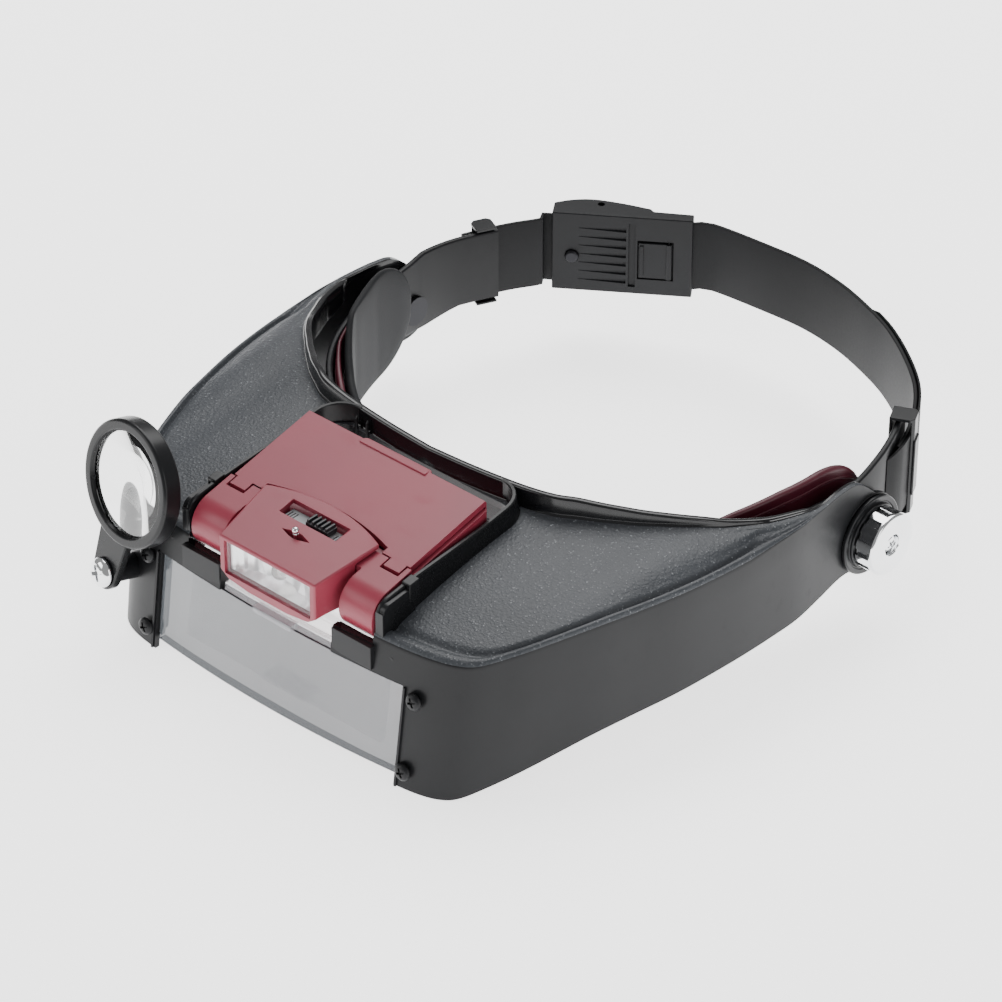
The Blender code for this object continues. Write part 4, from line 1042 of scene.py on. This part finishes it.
def lamp_front():
    """The window, the bulb behind it and the lever that aims the bulb."""
    window = bevelled(box("window_pane", (-15.3, 0.4, 37.0), (15.3, 1.4, 46.6)), 0.2)
    finished(window, "lamp", "window_clear", "lamp_window")
    glass = [(0, -4.0), (2.5, -4.0)] + arc((0, 2.2), 2.5, 0, 90, 10)[:-1] + [(0, 4.7)]
    bulb = turned("bulb_glass", glass, (0, 7.2, 41.9), (0, -1, 0), 32)
    finished(bulb, "bulb_slide", "bulb_glass", "bulb")
    pin = [(0, 46.9), (0.65, 46.9), (0.65, 50.7), (0.8, 50.9)] + arc((0, 51.75), 1.05, -50, 90, 8)[:-1]
    lever = turned("lever_pin", pin + [(0, 52.8)], (0, 11.0, 0), (0, 0, 1), 28)
    finished(lever, "bulb_slide", "chrome", "aim_lever")


def lamp_pieces():
    lamp_base()
    lamp_hood()
    battery_cover()
    reflector()
    switch_pieces()
    lamp_front()


# ---------------------------------------------------------------- loupe

def loupe_point(across, along, out):
    axes = frame_of(LOUPE_NORMAL) @ Matrix.Rotation(LOUPE_LEAN, 3, "Z")
    return LOUPE_PIVOT + axes @ Vector((across, along, out))


def loupe_pieces():
    centre = loupe_point(0, LOUPE_REACH, 0)
    outer = arc((17.0, 1.1), 1.0, 0, 90, 5) + arc((15.5, 1.5), 0.6, 90, 180, 4)
    rim = [(14.6, 1.0), (15.6, 1.0), (15.6, -3.4), (15.8, -3.6)] + arc((17.2, -2.8), 0.8, -90, 0, 4) + outer
    frame_ring = turned("ring", rim, centre, LOUPE_NORMAL, 96)
    waist = LOUPE_REACH - 16.6
    outline = [(-5.0, 0), (-6.0, waist), (6.0, waist), (5.0, 0)] + arc((0, 0), 5.0, 0, -180, 24)[1:-1]
    arm = loft("arm", [[loupe_point(u, v, w) for u, v in outline] for w in (-1.3, 1.3)])
    cut(arm, cylinder("hole", LOUPE_PIVOT, LOUPE_NORMAL, 1.8, -5, 5, 28))
    bevelled(arm, 0.4, 3)
    cut(arm, cylinder("ring_room", centre, LOUPE_NORMAL, 15.7, -6, 6, 96))
    finished(gather("loupe_rim", [frame_ring, arm]), "loupe", "rib_black", "loupe_frame")
    thick, reach = 2.5, 15.2
    front = [(reach * k / 10, 0.6 + (thick - 0.6) * (1 - (k / 10) ** 2)) for k in range(10, -1, -1)]
    back = [(reach * k / 10, -0.7 - (thick - 0.6) * (1 - (k / 10) ** 2)) for k in range(11)]
    glass = turned("loupe_glass", back + front, centre, LOUPE_NORMAL, 96)
    finished(glass, "loupe", "loupe_glass", "loupe_lens", 50, False)
    retainer = [(14.2, -1.25), (15.2, -1.25), (15.2, -2.6), (14.2, -2.6)]
    ring = turned("retaining_ring", retainer, centre, LOUPE_NORMAL, 96)
    finished(ring, "loupe", "gloss_black", "loupe_ring")


# ---------------------------------------------------------------- tilt knobs

def tilt_knob(word, side):
    """A chrome knob with a notched edge, the screw sunk in its face and the stepped black rings behind."""
    rear, face = KNOB_X
    axis = (side, 0, 0)
    centre = (0, *TILT_AXIS)
    rim = arc((KNOB_R - 0.9, face - 0.9), 0.9, 0, 90, 6)
    profile = [(2.3, rear), (KNOB_R - 0.3, rear), (KNOB_R, rear + 0.3)] + rim
    profile += [(3.3, face), (3.0, face - 0.25), (3.0, face - 2.2), (2.3, face - 2.2)]
    knob = turned("knob", profile, centre, axis, 144)
    notch = box("notch", (-1.0, KNOB_R - 0.95, -5.0), (1.0, KNOB_R + 2, 1.9))
    notches = repeated("notches", notch, 12, (0, 0, math.pi / 6), ring=True)
    shift = Matrix.Translation(Vector((side * (face - 3.6), *TILT_AXIS)) * MM)
    notches.data.transform(shift @ frame_of(axis).to_4x4())
    cut(knob, notches)
    bevelled(knob, 0.14, 2, 45)
    finished(knob, "knob_" + word, "chrome", "knob_" + word)
    screw = pan_screw("knob_cross_screw_" + word, (side * 94.3, *TILT_AXIS), axis, 1.2, -1.1, 2.55, 1.4, 0.8)
    finished(screw, "knob_" + word, "chrome", "knob_screw_" + word)
    profile = [(2.9, 87.85), (11.5, 87.85)] + arc((11.5, 88.15), 0.3, -90, 0, 3)
    profile += arc((11.3, 88.6), 0.5, 0, 90, 4) + [(10.3, 89.0), (10.1, 88.75), (9.8, 88.75), (9.6, 89.0)]
    profile += arc((9.2, 89.45), 0.4, 0, 90, 4) + [(2.9, 89.85)]
    rings = turned("boss_rings_" + word + "_round", profile, centre, axis, 96)
    finished(rings, "visor", "rib_black", "boss_rings_" + word)


# ---------------------------------------------------------------- headband

BAND_LINE = [(0, 69.5), (14, 69.8), (28, 71.2), (41, 74.2), (51, 79), (60, 85.6), (67.6, 93.6),
             (73.6, 103), (78.2, 114), (81.6, 126), (83.2, 138), (83.3, 149), (81.8, 158.5), (78.6, 167),
             (75.6, 173.2)]
# The pads, by place along the band: distance behind y = 60, counted negative on the wearer's right.
# Columns: place, offset of the middle from the band's line, half thickness, low edge, high edge.
SHELL_ROWS = [(-80, 2.0, 0.5, 14, 39), (-38, 2.0, 0.5, 14, 39), (-25, 3.2, 1.0, 13, 35),
              (0, 3.3, 1.1, 12.5, 34.5), (25, 3.3, 1.1, 12.5, 36), (44, 3.3, 1.1, 12.5, 42),
              (58, 3.4, 1.2, 12.5, 44.3), (72, 4.6, 1.3, 12.5, 44.5), (95, 4.6, 1.3, 12.5, 44.5)]
CUSHION_ROWS = [(-85, 3.9, 0.85, 12.2, 47.1), (-60, 3.9, 0.85, 12.2, 47.1), (-43, 4.2, 0.95, 12.2, 45.6),
                (-28, 6.0, 1.3, 12.4, 35.6), (-10, 6.7, 1.5, 12.4, 33.6), (30, 6.7, 1.5, 12.4, 33.6),
                (56, 6.8, 1.5, 13.4, 37.6), (72, 8.1, 1.5, 14.4, 38.6), (95, 8.1, 1.5, 14.4, 38.6)]
SHELL_ENDS = (152.5, 137.5)
CUSHION_ENDS = (150.0, 141.5)
ARM_TOP = [(136, 38.0), (144, 38.9), (152, 41.2), (160, 43.0), (175, 43.6)]
ARM_BOTTOM = [(150, 15.0), (158, 16.4), (166, 19.0), (175, 20.5)]
# The straps in plan, from each arm to the buckle, and the strap's second layer from the left keeper on.
LEFT_STRAP = [(82.6, 162.5), (79.6, 170.5), (74, 180.8), (66.4, 190.6), (55.4, 200), (43, 208.3), (31, 213.8),
              (18, 218.2), (4, 220.6), (-10, 220.4)]
RIGHT_STRAP = [(-70.6, 187), (-74.6, 180.2), (-78.2, 173), (-81.8, 164.5)]
OUTER_LAYER = [(83.0, 157.0), (83.6, 162.5), (80.7, 170.9), (75.1, 181.5), (67.4, 191.5), (56.3, 201),
               (43.6, 209.4), (31.4, 215.0)]


def plan_spline(points, step):
    return [(p.x, p.y) for p in spline([(x, y, 0) for x, y in points], step)]


def band_line(step=2.0):
    """The headband's middle line in plan, from the left arm's end round the forehead to the right's."""
    return both_sides(plan_spline(BAND_LINE, step))


def forehead_band():
    """The band across the forehead and its two arms, which rise and narrow towards the keepers."""
    path = band_line(3.0)

    def section(i):
        x, y = path[i]
        top = value_at(ARM_TOP, y) if x > 0 else min(value_at(ARM_TOP, y), 40.4)
        bottom = value_at(ARM_BOTTOM, y) if x > 0 else min(value_at(ARM_BOTTOM, y), 17.2)
        return rounded_section(-1.0, 0.9, bottom, top, 0.7, 3)

    strip = band("headband_arm", path, section)
    for side in (1, -1):
        cut(strip, cylinder("bolt_hole", (0, *TILT_AXIS), (side, 0, 0), 2.4, 75, 95, 32))
    finished(strip, "headband", "satin_black", "forehead_band", 40, False)


def pad_places(rows, ends):
    """A pad's path, with its half thickness, middle height and half height at each point of it."""
    line = band_line()
    placed = [(Vector(p), n, (p[1] - 60) * math.copysign(1, p[0])) for p, n in zip(line, outward(line))]
    placed = [(p, n, k) for p, n, k in placed if p.y <= (ends[0] if p.x > 0 else ends[1])]
    tables = [[(row[0], row[column]) for row in rows] for column in range(1, 5)]
    path = [tuple(p - n * value_at(tables[0], k)) for p, n, k in placed]
    along = [0.0]
    for a, b in zip(path, path[1:]):
        along.append(along[-1] + (Vector(b[:2]) - Vector(a[:2])).length)
    sizes = []
    for i, (p, n, k) in enumerate(placed):
        inset = max(0.0, 1 - min(along[i], along[-1] - along[i]) / 17.0)
        low, high = value_at(tables[2], k), value_at(tables[3], k)
        reach = (high - low) / 2 * math.sqrt(max(0.012, 1 - inset * inset))
        sizes.append((value_at(tables[1], k), (low + high) / 2, reach))
    return path, sizes


def pad_body(name, rows, ends, radius):
    """A soft pad: full and rounded along its edges, with ends like the tip of an ear."""
    path, sizes = pad_places(rows, ends)

    def section(i):
        half, middle, reach = sizes[i]
        run = rounded_section(-half, half, middle - reach, middle + reach, radius, 5)
        side = len(run) // 4
        upright = [tuple(Vector(run[2 * side - 1]).lerp(run[2 * side], k / 16)) for k in range(1, 16)]
        downward = [tuple(Vector(run[-1]).lerp(run[0], k / 16)) for k in range(1, 16)]
        return run[:2 * side] + upright + run[2 * side:] + downward

    return band(name, path, section)


def pad_shell():
    """The maroon backing of the pad, with a raised bead along its outer face."""
    body = pad_body("pad_backing", SHELL_ROWS, SHELL_ENDS, 1.3)
    path, sizes = pad_places(SHELL_ROWS, SHELL_ENDS)

    def bead_section(i):
        half, middle, reach = sizes[i]
        top = middle + reach * 0.80
        return rounded_section(half - 0.3, half + 0.28, top - 0.9, top, 0.3, 3)

    bead = band("bead", path, bead_section)
    shell = gather("pad_backing", [body, bead])
    finished(shell, "headband", "pad_maroon", "forehead_pad_shell", 50, False)


CLOTH_FRAMES = 12
CLOTH_PRESSURE = 4.0
CLOTH_CAP = 0.35


def inflate(obj):
    """Swells a padded piece with cloth pressure. No point moves more than CLOTH_CAP, in millimetres."""
    rest = [v.co.copy() for v in obj.data.vertices]
    cloth = obj.modifiers.new("swell", "CLOTH")
    cloth.settings.use_pressure = True
    cloth.settings.uniform_pressure_force = CLOTH_PRESSURE
    cloth.settings.effector_weights.gravity = 0.0
    cloth.settings.quality = 4
    scene = bpy.context.scene
    for step in range(1, CLOTH_FRAMES + 1):
        scene.frame_set(step)
    applied(obj)
    scene.frame_set(1)
    for vertex, start in zip(obj.data.vertices, rest):
        move = vertex.co - start
        if move.length > CLOTH_CAP * MM:
            vertex.co = start + move * (CLOTH_CAP * MM / move.length)


def cushion():
    """The foam cushion, swollen between its edges."""
    body = pad_body("head_cushion", CUSHION_ROWS, CUSHION_ENDS, 1.4)
    inflate(body)
    smooth = body.modifiers.new("soft", "SMOOTH")
    smooth.factor = 0.5
    smooth.iterations = 3
    finer = body.modifiers.new("finer", "SUBSURF")
    finer.levels = finer.render_levels = 1
    applied(body)
    finished(body, "headband", "cushion", "forehead_cushion", 60, False)


def plain_strap(name, points):
    path = plan_spline(points, 2.5)
    return band(name, path, lambda i: rounded_section(-0.6, 0.6, *STRAP_Z, 0.35, 3))


def strap_pieces():
    into_buckle = [buckle_point(u, 2.2, 0)[:2] for u in (48, 42, 36, 14)]
    from_buckle = [buckle_point(u, 2.2, 0)[:2] for u in (12, 0.5, -3)]
    left = plain_strap("strap_long", LEFT_STRAP + into_buckle)
    path = plan_spline(OUTER_LAYER, 2.5)

    def outer(i):
        trim = max(0.0, 2.0 - min(i, len(path) - 1 - i)) * 0.9
        return rounded_section(-0.3, 0.45, STRAP_Z[0] + 0.2 + trim, STRAP_Z[1] + 0.3 - trim, 0.3, 3)

    left = gather("strap_long", [left, band("outer_layer", path, outer)])
    finished(left, "headband", "strap", "strap_left", 40, False)
    right = plain_strap("strap_short", from_buckle + RIGHT_STRAP)
    finished(right, "headband", "strap", "strap_right", 40, False)


def keeper(word, side, low, high):
    """The loop that holds the end of an arm to its strap; the right one is open on the inside."""
    centre = Vector((side * 78.35, 170.3, 0))
    along = Vector((side * -0.43, 0.903, 0)).normalized()
    across = Vector((along.y, -along.x, 0)) * side

    def ring(outline, z):
        return [(*(centre + across * v + along * u).to_2d(), z) for u, v in outline]

    outer = [(-3.2, -3.6), (3.2, -3.6), (3.2, 2.4), (2.0, 3.6), (-2.0, 3.6), (-3.2, 2.4)]
    inner = rectangle((-5, -2.7), (5, 2.7))
    loop = loft("keeper_loop_" + word, [ring(outer, z) for z in (low, high)])
    cut(loop, loft("inside", [ring(inner, z) for z in (low + 0.7, high - 0.9)]))
    if side < 0:
        mouth = rectangle((-5, -5), (5, -2.4))
        cut(loop, loft("mouth", [ring(mouth, z) for z in (10.0, 50.0)]))
    bevelled(loop, 0.3, 3)
    ridge = rectangle((-2.4, 3.3), (2.4, 4.1))
    guard = bevelled(loft("guard", [ring(ridge, z) for z in (20.0, 38.0)]), 0.3, 3)
    loop = gather("keeper_loop_" + word, [loop, guard])
    finished(loop, "headband", "rib_black", "keeper_" + word)


# ---------------------------------------------------------------- buckle

def buckle_point(along, out, z):
    """A point in the buckle's frame: along the strap towards the left, out from the head, and up."""
    c, s = math.cos(BUCKLE_ANGLE), math.sin(BUCKLE_ANGLE)
    return (BUCKLE_AT.x + along * c - out * s, BUCKLE_AT.y + along * s + out * c, z)


def buckle_out():
    return (-math.sin(BUCKLE_ANGLE), math.cos(BUCKLE_ANGLE), 0)


def buckle_prism(name, outline, low, high):
    return loft(name, [[buckle_point(u, v, z) for u, v in outline] for z in (low, high)])


def buckle_box(name, low, high):
    return buckle_prism(name, rectangle(low, high), low[2], high[2])


def buckle_body():
    """The block, with its strap channel, latch window, slot, tapered finger grooves and rivet hole."""
    crown = [(0, 6.0), (5, 8.2), (11.5, 9.2), (20, 8.0), (29, 5.7)]
    outline = [(0, 0), (42, 0), (42, 3.9), (30.0, 4.3)] + plan_spline(reversed(crown), 1.5)
    body = buckle_prism("buckle_block", outline, *BUCKLE_Z)
    bevelled(body, 0.4, 3, 35)
    cut(body, buckle_box("channel", (-2, 1.25, 16.5), (44, 3.15, 40.5)))
    cut(body, buckle_box("window", (25.6, -2, 20.5), (36.4, 1.7, 33.9)))
    cut(body, buckle_box("slot", (22.9, -1, 17.6), (25.0, 0.75, 39.4)))
    wide = [buckle_point(22.2, v, z) for v, z in ((-0.4, 18.4), (0.75, 18.9), (0.75, 19.9), (-0.4, 20.4))]
    tip = [buckle_point(8.0, v, z) for v, z in ((-0.4, 19.1), (0.1, 19.25), (0.1, 19.55), (-0.4, 19.7))]
    cut(body, repeated("grooves", loft("groove", [tip, wide]), 7, (0, 0, 2.95)))
    cut(body, cylinder("top_hole", buckle_point(14.0, 6.4, 0), (0, 0, 1), 1.1, 38, 50, 24))
    cut(body, cylinder("rivet_hole", buckle_point(6.0, 0, BUCKLE_MIDDLE), buckle_out(), 1.55, -1.0, 4.8, 24))
    finished(body, "headband", "buckle", "buckle_body")


def buckle_pieces():
    buckle_body()
    latch = bevelled(buckle_box("latch_tongue", (26.0, -0.3, 21.2), (34.4, 0.7, 33.2)), 0.2)
    catch = bevelled(buckle_box("catch", (26.4, 0.5, 24.6), (28.4, 1.25, 29.8)), 0.2)
    grip = bevelled(buckle_box("grip", (26.3, -0.7, 22.0), (27.5, 0.2, 32.4)), 0.25)
    barrel = rectangle((0.62, 21.2), (1.0, 33.2))
    barrel = turned("barrel", barrel, buckle_point(35.0, 0.2, 0), (0, 0, 1), 24)
    latch = gather("latch_tongue", [latch, catch, grip, barrel])
    finished(latch, "latch", "buckle", "buckle_latch")
    profile = [(0, -0.9)] + arc((1.2, -0.1), 1.0, -90, 0, 5)
    profile += [(2.2, -0.05), (1.2, -0.05), (1.2, 4.4), (0, 4.4)]
    rivet = turned("rivet_round", profile, buckle_point(6.0, 0, BUCKLE_MIDDLE), buckle_out(), 32)
    finished(rivet, "headband", "black_steel", "strap_rivet")


def headband_pieces():
    forehead_band()
    pad_shell()
    cushion()
    strap_pieces()
    keeper("left", 1, 13.9, 45.2)
    keeper("right", -1, 15.9, 42.0)
    buckle_pieces()


# ---------------------------------------------------------------- kept frame parts and the studio

KEPT = {
    "steel": "bulb_carrier contact_plate_left contact_plate_right contact_spring_front contact_spring_rear "
             "friction_washer_left friction_washer_right latch_pin",
    "black_steel": "clamp_bolt_left clamp_bolt_right",
    "cell": "battery_front battery_rear",
    "board": "circuit_board",
}


def finish_kept_parts():
    for word, nodes in KEPT.items():
        for node in nodes.split():
            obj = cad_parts[node]
            obj.data.materials.clear()
            obj.data.materials.append(MATERIALS[word])


FLOOR_HALF = 4.0
FLOOR_DROP = 0.0002
FLOOR_GLOW = 2.1
SKY_STRENGTH = 0.34
# The lamps of the studio: name, place, target, size, power in watts, height of a rectangular one.
LIGHTS = [("overhead", (-0.35, 0.55, 1.15), (0, 0, 0.03), 1.1, 18, None),
          ("front_left", (-0.9, -1.1, 0.7), (0, -0.05, 0.03), 0.7, 5, None),
          ("right_side", (1.3, -0.2, 0.55), (0, 0, 0.03), 0.5, 4, 0.9)]


def area_light(name, place, target, size, power, height):
    light = bpy.data.lights.new(name, "AREA")
    light.energy = power
    light.size = size
    if height:
        light.shape = "RECTANGLE"
        light.size_y = height
    obj = linked(name, light)
    obj.location = place
    obj.rotation_euler = (Vector(target) - Vector(place)).to_track_quat("-Z", "Y").to_euler()


def studio():
    """A pale floor that glows a little, a white sky and three soft lamps."""
    mesh = bpy.data.meshes.new("floor")
    corners = [(x, y, 0) for x, y in rectangle((-FLOOR_HALF, -FLOOR_HALF), (FLOOR_HALF, FLOOR_HALF))]
    mesh.from_pydata(corners, [], [(0, 1, 2, 3)])
    floor = linked("floor", mesh)
    floor.location.z = -FLOOR_DROP
    paper = Finish("floor_paper")
    colour = paper.mix(paper.noise(3.0, 2.0), rgb(0.93, 0.93, 0.93), rgb(0.95, 0.95, 0.95))
    mesh.materials.append(paper.surface(Base_Color=colour, Roughness=0.9, Specular_IOR_Level=0.1,
                                        Emission_Color=rgb(1, 1, 1), Emission_Strength=FLOOR_GLOW))
    world = bpy.data.worlds.new("studio")
    world.use_nodes = True
    sky = world.node_tree.nodes["Background"].inputs
    sky["Color"].default_value = (1, 1, 1, 1)
    sky["Strength"].default_value = SKY_STRENGTH
    bpy.context.scene.world = world
    for light in LIGHTS:
        area_light(*light)


CAMERA_AT = Vector((0.6888, -0.7762, 0.7339))
CAMERA_TURN = math.radians(42.17)
CAMERA_TILT = math.radians(34.72)
SENSOR = 36.0
LENS = SENSOR * 4500 / 1002


def camera():
    data = bpy.data.cameras.new("camera")
    data.sensor_width = SENSOR
    data.lens = LENS
    obj = linked("camera", data)
    obj.location = CAMERA_AT
    obj.rotation_euler = (math.pi / 2 - CAMERA_TILT, 0, CAMERA_TURN)
    bpy.context.scene.camera = obj


def build():
    visor_pieces()
    lens_pieces()
    screw_pieces()
    lamp_pieces()
    loupe_pieces()
    tilt_knob("left", 1)
    tilt_knob("right", -1)
    headband_pieces()
    finish_kept_parts()
    studio()
    camera()


build()
